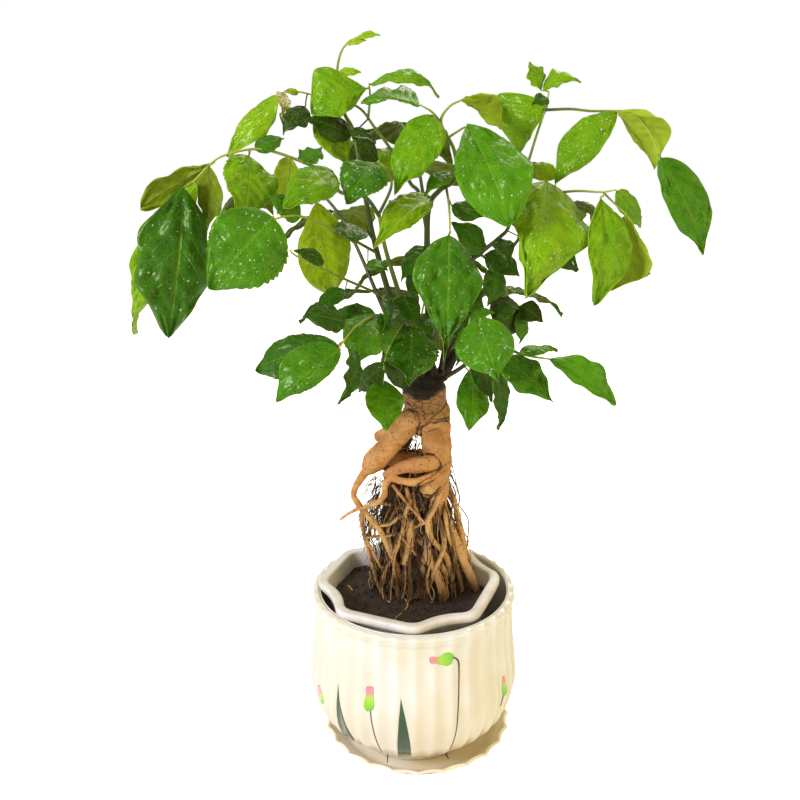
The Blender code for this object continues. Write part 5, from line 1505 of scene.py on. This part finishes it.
def plain_point(leaf, s, u):
    """A point of the plain blade, as the solid has it: s runs from base to tip, u from one edge to the other."""
    base, tip, side, up, half, arch, fold, wave, phase = leaf[:9]
    length = (tip - base).length
    lift = arch * length * math.sin(math.pi * min(s * 0.94, 1.0))
    reach = reach_of(leaf, s, u)
    ripple = wave * half * u * u * math.sin(math.tau * 1.5 * s + phase + (2.2 if u > 0 else 0.0))
    return base.lerp(tip, s) + side * (u * reach) + up * (lift - fold * abs(u) ** 1.4 * reach + ripple)


def margin(s, u, kind, phase):
    """How much the outline swells or shrinks here, at an edge."""
    hand = 1.9 if u > 0 else 0.0
    swell = 0.030 * math.sin(math.tau * 1.3 * s + phase + hand)
    uneven = noise.noise(Vector((7.0 * s, hand, phase)))
    swell += 0.05 * noise.noise(Vector((3.2 * s, hand + 5.0, phase)))
    if kind == TOOTHED:
        swell += 0.060 * (1 + uneven) * (((s * 13 + uneven + hand) % 1.0) - 0.5)
    if kind == KITE:
        swell -= 0.17 * (1 - math.exp(-(((s - 0.40) / 0.15) ** 2))) * eased((0.97 - s) / 0.2)
    if kind == LOBED:
        swell += 0.080 * math.sin(math.tau * 2.7 * s + phase * 1.7 + 2 * hand)
    return swell * abs(u) ** 2


def quilting(s, u):
    """The blade stands up between its side veins, and less so near the midrib and the margin."""
    vein = (s - VEIN_SWEEP * abs(u) ** 1.25) * VEIN_PAIRS
    across = eased(abs(u) / 0.4) * (1 - 0.6 * eased((abs(u) - 0.55) / 0.45))
    return abs(math.sin(math.pi * vein)) ** 0.7 * across * eased(s / 0.15) * eased((1 - s) / 0.3)


def blade_point(leaf, s, u, kind):
    """A point of the finished blade."""
    base, tip, side, up, half, arch, fold, wave, phase = leaf[:9]
    length = (tip - base).length
    point = plain_point(leaf, s, u)
    reach = reach_of(leaf, s, u)
    point += side * (u * reach * margin(s, u, kind, phase))
    relief = 0.017 * length * quilting(s, u) - 0.006 * length * math.exp(-((u / 0.09) ** 2)) * eased((1 - s) / 0.2)
    flutter = 0.13 if kind == LOBED else 0.045
    relief += flutter * half * abs(u) ** 3 * math.sin(math.tau * 3.4 * s + 2.3 * phase + (1.1 if u > 0 else 0.0)) * eased(s / 0.2)
    relief -= 0.035 * length * eased((s - 0.78) / 0.22)
    pucker = noise.noise(Vector((3.1 * s + phase, 1.7 * u, phase))) + 0.9 * noise.noise(Vector((9.0 * s, 4.5 * u + phase, 2.0)))
    relief += 0.042 * length * pucker * eased(abs(u) / 0.35) * eased(s / 0.15)
    if kind == HEART:
        point -= (tip - base) * 0.13 * abs(u) ** 1.5 * (1 - s) ** 6
    return point + up * relief


def seen_leaf(row, swing_mm, number):
    """The leaflet of this row, with its tip moved along the line of sight by the swing."""
    _, bx, by, b_depth, tx, ty, t_depth, width, turn, arch, (lean, widest, blunt) = row[:11]
    base = sight(bx, by, b_depth + swing_mm * 0.15)
    tip = sight(tx, ty, t_depth + swing_mm)
    axis = (tip - base).normalized()
    to_eye = EYE - (base + tip) / 2
    facing = (to_eye - axis * to_eye.dot(axis)).normalized()
    beside = axis.cross(facing)
    if beside.z + 0.35 * beside.x < 0:
        beside = -beside
    angle = math.radians(turn)
    up = facing * math.cos(angle) + beside * math.sin(angle)
    half = width * to_eye.length / EYE_PIXELS / 2 / max(abs(math.cos(angle)), 0.35)
    side = axis.cross(up)
    shape = (lean if side.x > 0 else -lean, widest, blunt)
    return base, tip, side, up, half, arch, 0.16 + 0.10 * math.sin(2.3 * number), 0.10, 1.7 * number, shape


def far_leaf(base, tip, up_hint, half, number, swing_mm):
    """A leaflet of a far stem."""
    tip = tip + Vector((0.0, 0.4, 1.0)) * swing_mm * MM
    axis = (tip - base).normalized()
    up = (up_hint - axis * up_hint.dot(axis)).normalized()
    return base, tip, axis.cross(up), up, half, 0.12, 0.18, 0.10, 1.7 * number, OVAL


def stations_for(width):
    if width >= 45:
        return LARGE_STATIONS
    return MEDIUM_STATIONS if width >= 30 else SMALL_STATIONS


def distance_apart(leaf, stations, tree):
    """How far the plain blade's points lie from the solid's skin, on average, in millimetres."""
    found = []
    for s in stations:
        for u in (-1.0, 0.0, 1.0):
            found.append(tree.find_nearest(plain_point(leaf, s, u))[3])
    found.sort()
    kept = found[: max(3, len(found) * 3 // 4)]
    return sum(kept) / len(kept) / MM


def settled(leaf_at, stations, tree):
    """The leaf at the swing that the solid has, or None where the solid has no such leaf."""
    best = min(SWINGS, key=lambda swing: distance_apart(leaf_at(swing), stations, tree))
    return leaf_at(best) if distance_apart(leaf_at(best), stations, tree) < MOST_APART else None


# %% Lines of the stems, and leaflets of the far stems
def stem_lines():
    """For each leafy stem, its lines with their radii and tones."""
    lines = {}
    for node, paths in STEMS.items():
        lines[node] = []
        for index, (rows, first, last) in enumerate(paths):
            line = curve_through([sight(*row) for row in rows], 7)
            age = (0.05, 0.85) if index == 0 else (0.42, 0.95)
            lines[node].append((line, first, last, age))
    for node, rows in BACK_STEMS.items():
        line = curve_through([Vector(row) * MM for row in rows], 8)
        lines[node] = [(line, 2.2, 0.8, (0.1, 0.6))]
    return lines


def nearest_on(line, point):
    """The closest point of the line to this point."""
    best = None
    for a, b in zip(line, line[1:]):
        span = b - a
        share = min(max((point - a).dot(span) / span.length_squared, 0.0), 1.0)
        spot = a + span * share
        if best is None or (spot - point).length < (best - point).length:
            best = spot
    return best


def far_rows(rows, seed):
    """Pairs of hanging leaflets along the outer part of a far stem, and one at its end."""
    line = curve_through([Vector(row) * MM for row in rows], 2)
    rng = random.Random(seed)
    found = []
    for pair in range(BACK_PAIRS):
        share = 0.30 + 0.66 * pair / (BACK_PAIRS - 1)
        place = share * (len(line) - 1)
        low = min(int(place), len(line) - 2)
        base = line[low].lerp(line[low + 1], place - low)
        along = (line[low + 1] - line[low]).normalized()
        across = along.cross(Vector((0.0, 0.0, 1.0))).normalized()
        for hand in (-1, 1):
            length = BACK_LENGTH * rng.uniform(0.75, 1.15) * MM
            drop = rng.uniform(0.55, 1.0)
            aim = (along * rng.uniform(0.2, 0.6) + across * hand * 0.9 + Vector((0.0, 0.0, -drop))).normalized()
            start = base + across * hand * 3.0 * MM
            found.append((start, start + aim * length, Vector((0.0, 0.2, 1.0)) + along * 0.5, length * 0.24))
    ahead = (line[-1] - line[-2]).normalized()
    aim = (ahead + Vector((0.0, 0.0, -0.6))).normalized()
    end = line[-1] + aim * BACK_LENGTH * MM
    found.append((line[-1], end, Vector((0.0, 0.0, 1.0)) + ahead * 0.4, BACK_LENGTH * 0.25 * MM))
    return found


# %% Blades and stems of one leafy stem
def grid_for(width):
    """Rows and columns of a blade, finer for a wider one."""
    if width >= 45:
        return 60, 22
    return (44, 16) if width >= 30 else (30, 12)


def add_blade(bm, leaf, kind, tone, cells):
    along, across = cells
    blade = new_bmesh()
    carried_grid(blade, across, along, lambda k, i: blade_point(leaf, i / along, 2 * k / across - 1, kind))
    set_tone(blade, blade.verts, tone)
    bmesh.ops.remove_doubles(blade, verts=blade.verts, dist=1e-7)
    pour(blade, bm)


def add_stalk(bm, leaf, kind, root, width, tone):
    """The leaflet's stalk, which goes on under the blade as its midrib."""
    up = leaf[3]
    start = min(0.35 + width * 0.009, 0.85)
    points = [root, root.lerp(leaf[0], 0.55) + up * 0.4 * MM]
    points += [blade_point(leaf, s, 0.0, kind) - up * 0.22 * MM for s in (0.0, 0.12, 0.3, 0.5, 0.7, 0.86)]
    line = curve_through(points, 3)
    add_tube(bm, line, taper(len(line), start, 0.12), 7, min(0.45 + 0.55 * tone, 1.0), 2)


STEM_SLIM = 0.84
STEM_TIP_SLIM = 0.62


def add_stem(bm, line, first, last, age):
    """A stem, slimmer than its solid, which is too thick for a real one."""
    radii = taper(len(line), first * STEM_SLIM, last * STEM_TIP_SLIM)
    low, high = age
    add_tube(bm, line, radii, 14, lambda share: low + (high - low) * share, 2)


def hang_leaves(node, rows, lines):
    """All of one leafy stem, as one piece."""
    blades = new_bmesh()
    placed = []
    for leaf, kind, tone, width, drops in rows:
        root = min((nearest_on(line, leaf[0]) for line, _, _, _ in lines), key=lambda p: (p - leaf[0]).length)
        add_blade(blades, leaf, kind, tone, grid_for(width))
        placed.append((leaf, kind, root, width, tone))
    mesh = bpy.data.meshes.new("blades")
    blades.to_mesh(mesh)
    blades.free()
    sheet = bpy.data.objects.new("blades", mesh)
    bpy.context.scene.collection.objects.link(sheet)
    thick = sheet.modifiers.new("thickness", "SOLIDIFY")
    thick.thickness = BLADE_THICK * MM
    thick.offset = 0.0
    thick.material_offset = 1
    thick.material_offset_rim = 1
    for material in (leaf_top, leaf_under, stem_skin):
        mesh.materials.append(material)
    applied(sheet)
    bm = bmesh.new()
    bm.from_mesh(sheet.data)
    bpy.data.objects.remove(sheet)
    for leaf, kind, root, width, tone in placed:
        add_stalk(bm, leaf, kind, root, width, tone)
    for line, first, last, age in lines:
        add_stem(bm, line, first, last, age)
    name = node.replace("leafy_stem", "leaves")
    return finish_piece(name, bm, [leaf_top, leaf_under, stem_skin], "foliage", node)


# %% Settle every leaflet and build the leafy stems
LINES = stem_lines()
LEAVES = {node: [] for node in LINES}
TREES = {}
for node in LINES:
    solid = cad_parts[node].data
    TREES[node] = BVHTree.FromPolygons([v.co for v in solid.vertices], [tuple(p.vertices) for p in solid.polygons])
for number, row in enumerate(LEAFLETS):
    node, width = row[0], row[7]
    leaf = settled(lambda swing: seen_leaf(row, swing, number), stations_for(width), TREES[node])
    if leaf is None:
        print("no such leaflet in the solid:", node, number)
        continue
    LEAVES[node].append((leaf, row[12], row[11], width, row[13]))
number = len(LEAFLETS)
tone_rng = random.Random(8)
for index, (node, rows) in enumerate(BACK_STEMS.items()):
    for base, tip, up_hint, half in far_rows(rows, BACK_SEED + index):
        leaf = settled(lambda swing: far_leaf(base, tip, up_hint, half, number, swing), SMALL_STATIONS, TREES[node])
        # Far leaflets are dark: old leaves, and painted shade inside the foliage.
        tone = tone_rng.uniform(0.10, 0.42)
        if leaf is None:
            print("no such leaflet in the solid:", node, number)
        else:
            LEAVES[node].append((leaf, tone_rng.choice((SMOOTH, TOOTHED)), tone, 34, 0))
        number += 1
for node, rows in LEAVES.items():
    hang_leaves(node, rows, LINES[node])

# %% [markdown]
# ## Feet of the stems
# The leafy stems grow out of the crown of the trunk. In the solids each one stands on a short stub of the trunk, a
# hair's breadth apart, so that stem and trunk stay pieces of their own. The dressed stub is a knobbly tube with a wide
# foot inside the crown, in the same bark, dark there with old bark and painted shade.

# %% Stem feet
CROWN = (426, 386, 1)
FOOT_LENGTH = 3.0
FOOT_GAP = 0.08
feet_bm = new_bmesh()
for number, stem in enumerate(LINES.values()):
    line, first = stem[0][0], stem[0][1] * STEM_SLIM
    along = (line[1] - line[0]).normalized() * MM
    foot = curve_through([sight(*CROWN), line[0] - along * FOOT_LENGTH, line[0] - along * FOOT_GAP], 8)
    radii = knobbly(foot, taper(len(foot), first * 1.7, first), 0.10, number * 2.3)
    radii[-1] = first
    add_tube(feet_bm, foot, radii, 14, 0.1)
stem_feet = finish_piece("stem_feet", feet_bm, [bark], "bark", "trunk_and_roots")

# %% [markdown]
# ## Water drops
# The plant was just sprayed. Drops sit on the upper faces of some leaflets as small flat domes. Each is a coarse
# sphere, squashed against the blade and half sunk in it, and all of them are one piece with a half clear shader whose
# pale colour is a painted glint.

# %% Water drops
water, tree, shader = new_material("water")
set_shader(
    tree,
    shader,
    {
        # The pale base colour is a painted glint.
        "Base Color": (0.86, 1.0, 0.74, 1.0),
        "Roughness": add_node(tree, "ShaderNodeMapRange", {"Value": noise_of(tree, object_place(tree), 300.0), "To Min": 0.0, "To Max": 0.05}).outputs["Result"],
        "IOR": 1.33,
        "Transmission Weight": 0.5,
    },
)
drop_rng = random.Random(17)
drop_bm = new_bmesh()
DROP_GRID = (8, 5)


def drop_place(leaf, kind, s, u):
    """The blade's point there and its outward direction."""
    point = blade_point(leaf, s, u, kind)
    along = blade_point(leaf, s + 0.01, u, kind) - point
    beside = blade_point(leaf, s, u + 0.02, kind) - point
    return point, beside.cross(along).normalized()


for rows in LEAVES.values():
    for leaf, kind, tone, width, drops in rows:
        for _ in range(int(drops)):
            s = drop_rng.uniform(0.08, 0.9)
            u = drop_rng.uniform(-0.85, 0.85)
            point, normal = drop_place(leaf, kind, s, u)
            size = (0.26 + 0.46 * drop_rng.random() ** 2.2) * MM
            drop = new_bmesh()
            bmesh.ops.create_uvsphere(drop, u_segments=DROP_GRID[0], v_segments=DROP_GRID[1], radius=size)
            for vert in drop.verts:
                vert.co.z *= 0.55
            turn = Vector((0.0, 0.0, 1.0)).rotation_difference(normal).to_matrix().to_4x4()
            spot = point + normal * (BLADE_THICK / 2 * MM + size * 0.12)
            drop.transform(Matrix.Translation(spot) @ turn)
            pour(drop, drop_bm)
water_drops = finish_piece("water_drops", drop_bm, [water], "foliage")

# %% [markdown]
# ## Painted buds and blades
# A few small buds on thin stems and two slender blades are painted on the glaze, a common floral ornament. Paint has
# almost no thickness, but it does have edges. So each stroke is a thin skin that lies on the pot: its outline is given
# in pixels, its points are dropped on the pot along the line of sight, and the skin is given a fifth of a millimetre.
# The same strokes are repeated on the far side of the pot, turned by half a turn, because such pots are painted around.

# %% Paint
def paint_colour(name, stops):
    """Glossy paint whose colour runs along the stroke, with the streaks of a brush."""
    material, tree, shader = new_material(name)
    stroke = add_node(tree, "ShaderNodeSeparateXYZ", {"Vector": add_node(tree, "ShaderNodeUVMap", uv_map="UVMap").outputs["UV"]})
    streak = noise_of(tree, object_place(tree), 480.0, 3.0)
    place = calc(tree, "MULTIPLY_ADD", streak, 0.16, calc(tree, "SUBTRACT", stroke.outputs["Y"], 0.08))
    base = ramp(tree, place, stops)
    set_shader(
        tree,
        shader,
        {
            "Base Color": base,
            "Roughness": calc(tree, "MULTIPLY_ADD", streak, 0.15, 0.18),
            "Normal": bumped(tree, streak, 0.2, 0.15),
            "Coat Weight": 0.6,
            "Coat Roughness": 0.08,
        },
    )
    return material


PINK = linear(238, 150, 152)
PINK_DEEP = linear(206, 110, 112)
LIME = linear(168, 226, 58)
LIME_DEEP = linear(112, 190, 40)
bud_paint = paint_colour("bud_paint", [(0.0, PINK_DEEP), (0.16, PINK), (0.34, PINK), (0.48, LIME), (1.0, LIME_DEEP)])
blade_paint = paint_colour("blade_paint", [(0.0, linear(52, 92, 52)), (0.5, linear(34, 76, 42)), (1.0, linear(30, 66, 38))])
line_paint = paint_colour("line_paint", [(0.0, linear(34, 38, 28)), (0.6, linear(40, 42, 30)), (1.0, linear(92, 84, 58))])

PAINTS = [bud_paint, blade_paint, line_paint]
BUD, BLADE, LINE = range(3)
# Each stroke: its paint, and rows of pixel x, pixel y and half the width in pixels, from its start to its end.
STROKES = [
    (BUD, [(318.6, 685.0, 0.8), (319.6, 690.0, 1.6), (320.8, 696.0, 1.9), (322.2, 701.0, 1.5), (323.2, 704.0, 0.3)]),
    (BUD, [(369.8, 686.4, 3.2), (369.8, 690.0, 4.0), (369.8, 696.0, 3.9), (369.2, 702.0, 5.2), (369.4, 707.0, 5.2), (370.4, 710.6, 3.0)]),
    (BUD, [(429.6, 660.4, 2.2), (431.6, 660.2, 3.6), (436.0, 660.2, 3.2), (441.0, 660.4, 4.6), (446.0, 659.4, 6.4), (450.5, 657.4, 5.2), (453.6, 657.2, 2.0)]),
    (BUD, [(503.6, 676.2, 0.8), (503.8, 680.0, 1.6), (504.0, 685.0, 1.7), (504.6, 690.0, 2.7), (503.8, 695.5, 1.4)]),
    (BLADE, [(338.2, 684.0, 0.1), (338.2, 693.0, 0.7), (338.4, 704.0, 1.7), (340.0, 716.0, 2.9), (343.2, 727.0, 3.4), (348.0, 735.0, 3.0), (354.0, 740.6, 1.2)]),
    (BLADE, [(400.8, 699.0, 0.1), (401.4, 708.0, 1.4), (402.2, 720.0, 3.4), (403.0, 732.0, 5.0), (403.6, 742.0, 6.2), (404.2, 750.0, 6.6), (404.6, 756.4, 6.4)]),
    (LINE, [(370.6, 709.6, 0.5), (371.0, 716.0, 0.5), (372.2, 724.0, 0.5), (374.4, 734.0, 0.5), (377.8, 744.0, 0.45), (382.0, 752.0, 0.4)]),
    (LINE, [(452.8, 657.2, 0.7), (456.0, 658.4, 0.8), (458.4, 662.0, 0.8), (458.9, 670.0, 0.6), (458.7, 690.0, 0.5), (458.0, 710.0, 0.5), (456.6, 728.0, 0.5), (453.6, 741.0, 0.45), (449.6, 749.6, 0.4)]),
    (LINE, [(503.2, 695.0, 0.5), (502.2, 700.0, 0.4), (500.4, 706.0, 0.3)]),
]
SAUCER_STROKES = [
    (LINE, [(387.2, 755.6, 0.4), (387.6, 759.0, 0.45), (387.4, 762.6, 0.4)]),
    (LINE, [(446.2, 752.4, 0.4), (446.6, 755.6, 0.5), (449.0, 758.8, 0.4)]),
]
PAINT_THICK = 0.22


def skin_of(obj):
    mesh = obj.data
    return BVHTree.FromPolygons([v.co for v in mesh.vertices], [tuple(p.vertices) for p in mesh.polygons])


def add_stroke(bm, target, paint, rows, across):
    """A stroke on the target's skin. Pixels that miss the target fall on the nearest point of it."""
    points = curve_through([Vector(row) for row in rows], 6)

    def place(k, i):
        row = points[i]
        ahead = points[min(i + 1, len(points) - 1)] - points[max(i - 1, 0)]
        beside = Vector((-ahead.y, ahead.x)).normalized()
        reach = max(row.z, 0.05) * (2 * k / across - 1)
        ray = sight_line(row.x + beside.x * reach, row.y + beside.y * reach).normalized()
        hit, normal, _, _ = target.ray_cast(EYE, ray)
        if hit is None:
            hit, normal, _, _ = target.find_nearest(EYE + ray * 0.75)
        return hit + normal * 0.02 * MM

    verts = carried_grid(bm, across, len(points) - 1, place)
    faces = {face for vert in verts for face in vert.link_faces}
    for face in faces:
        face.material_index = paint


paint_bm = new_bmesh()
pot_skin = skin_of(pot)
for paint, rows in STROKES:
    add_stroke(paint_bm, pot_skin, paint, rows, 8 if paint != LINE else 4)
front = list(paint_bm.verts) + list(paint_bm.edges) + list(paint_bm.faces)
copied = bmesh.ops.duplicate(paint_bm, geom=front)["geom"]
copied_verts = [item for item in copied if isinstance(item, bmesh.types.BMVert)]
bmesh.ops.rotate(paint_bm, verts=copied_verts, cent=(0.0, 0.0, 0.0), matrix=Matrix.Rotation(math.pi, 3, "Z"))
saucer_skin = skin_of(saucer)
for paint, rows in SAUCER_STROKES:
    add_stroke(paint_bm, saucer_skin, paint, rows, 4)
painted = finish_piece("painted_buds", paint_bm, PAINTS, "pot_glaze")
layer = painted.modifiers.new("layer", "SOLIDIFY")
layer.thickness = PAINT_THICK * MM
layer.offset = 0.6
applied(painted)

# %% [markdown]
# ## Floor and light
# The photograph is a cut-out on white. A flat pale floor gives the same ground, and the light is a soft studio light:
# one large lamp from the left and above, a weaker one from the right, and a bright room.

# %% Floor
floor_bm = bmesh.new()
FLOOR_SIZE = 3.2
made = bmesh.ops.create_grid(floor_bm, x_segments=1, y_segments=1, size=FLOOR_SIZE)["verts"]
floor_mesh = bpy.data.meshes.new("floor")
floor_bm.to_mesh(floor_mesh)
floor_bm.free()
floor = bpy.data.objects.new("floor", floor_mesh)
bpy.context.scene.collection.objects.link(floor)
pale, tree, shader = new_material("pale_floor")
set_shader(
    tree,
    shader,
    {
        "Base Color": (0.93, 0.93, 0.93, 1.0),
        "Roughness": 0.9,
        "Emission Color": (1.0, 1.0, 1.0, 1.0),
        "Emission Strength": calc(tree, "MULTIPLY", add_node(tree, "ShaderNodeLightPath").outputs["Is Camera Ray"], 0.9),
    },
)
floor_mesh.materials.append(pale)

# %% Light
def soft_light(name, place, aim, size, power, colour=(1.0, 1.0, 1.0)):
    data = bpy.data.lights.new(name, "AREA")
    data.shape = "DISK"
    data.size = size
    data.energy = power
    data.color = colour
    obj = bpy.data.objects.new(name, data)
    obj.location = place
    obj.rotation_euler = (Vector(aim) - Vector(place)).to_track_quat("-Z", "Y").to_euler()
    bpy.context.scene.collection.objects.link(obj)
    return obj


AIM = (0.0, 0.0, 0.25)
ROOM_LIGHT = (0.50, 0.45, 0.29, 1.0)
soft_light("key", (-1.30, -0.95, 1.20), AIM, 0.7, 27.0, (0.95, 0.97, 1.16))
soft_light("fill", (1.3, -0.8, 0.6), AIM, 1.2, 9.0, (1.0, 0.82, 0.50))
soft_light("rim", (0.35, 1.1, 1.3), AIM, 0.9, 9.0, (1.0, 0.98, 0.80))

world = bpy.data.worlds.new("studio")
world.use_nodes = True
room = world.node_tree.nodes["Background"]
seen = add_node(world.node_tree, "ShaderNodeLightPath").outputs["Is Camera Ray"]
world.node_tree.links.new(mixed(world.node_tree, seen, ROOM_LIGHT, (1.0, 1.0, 1.0, 1.0)), room.inputs["Color"])
bpy.context.scene.world = world
bpy.context.scene.view_settings.view_transform = "Standard"

# %% Update the scene
bpy.context.view_layer.update()
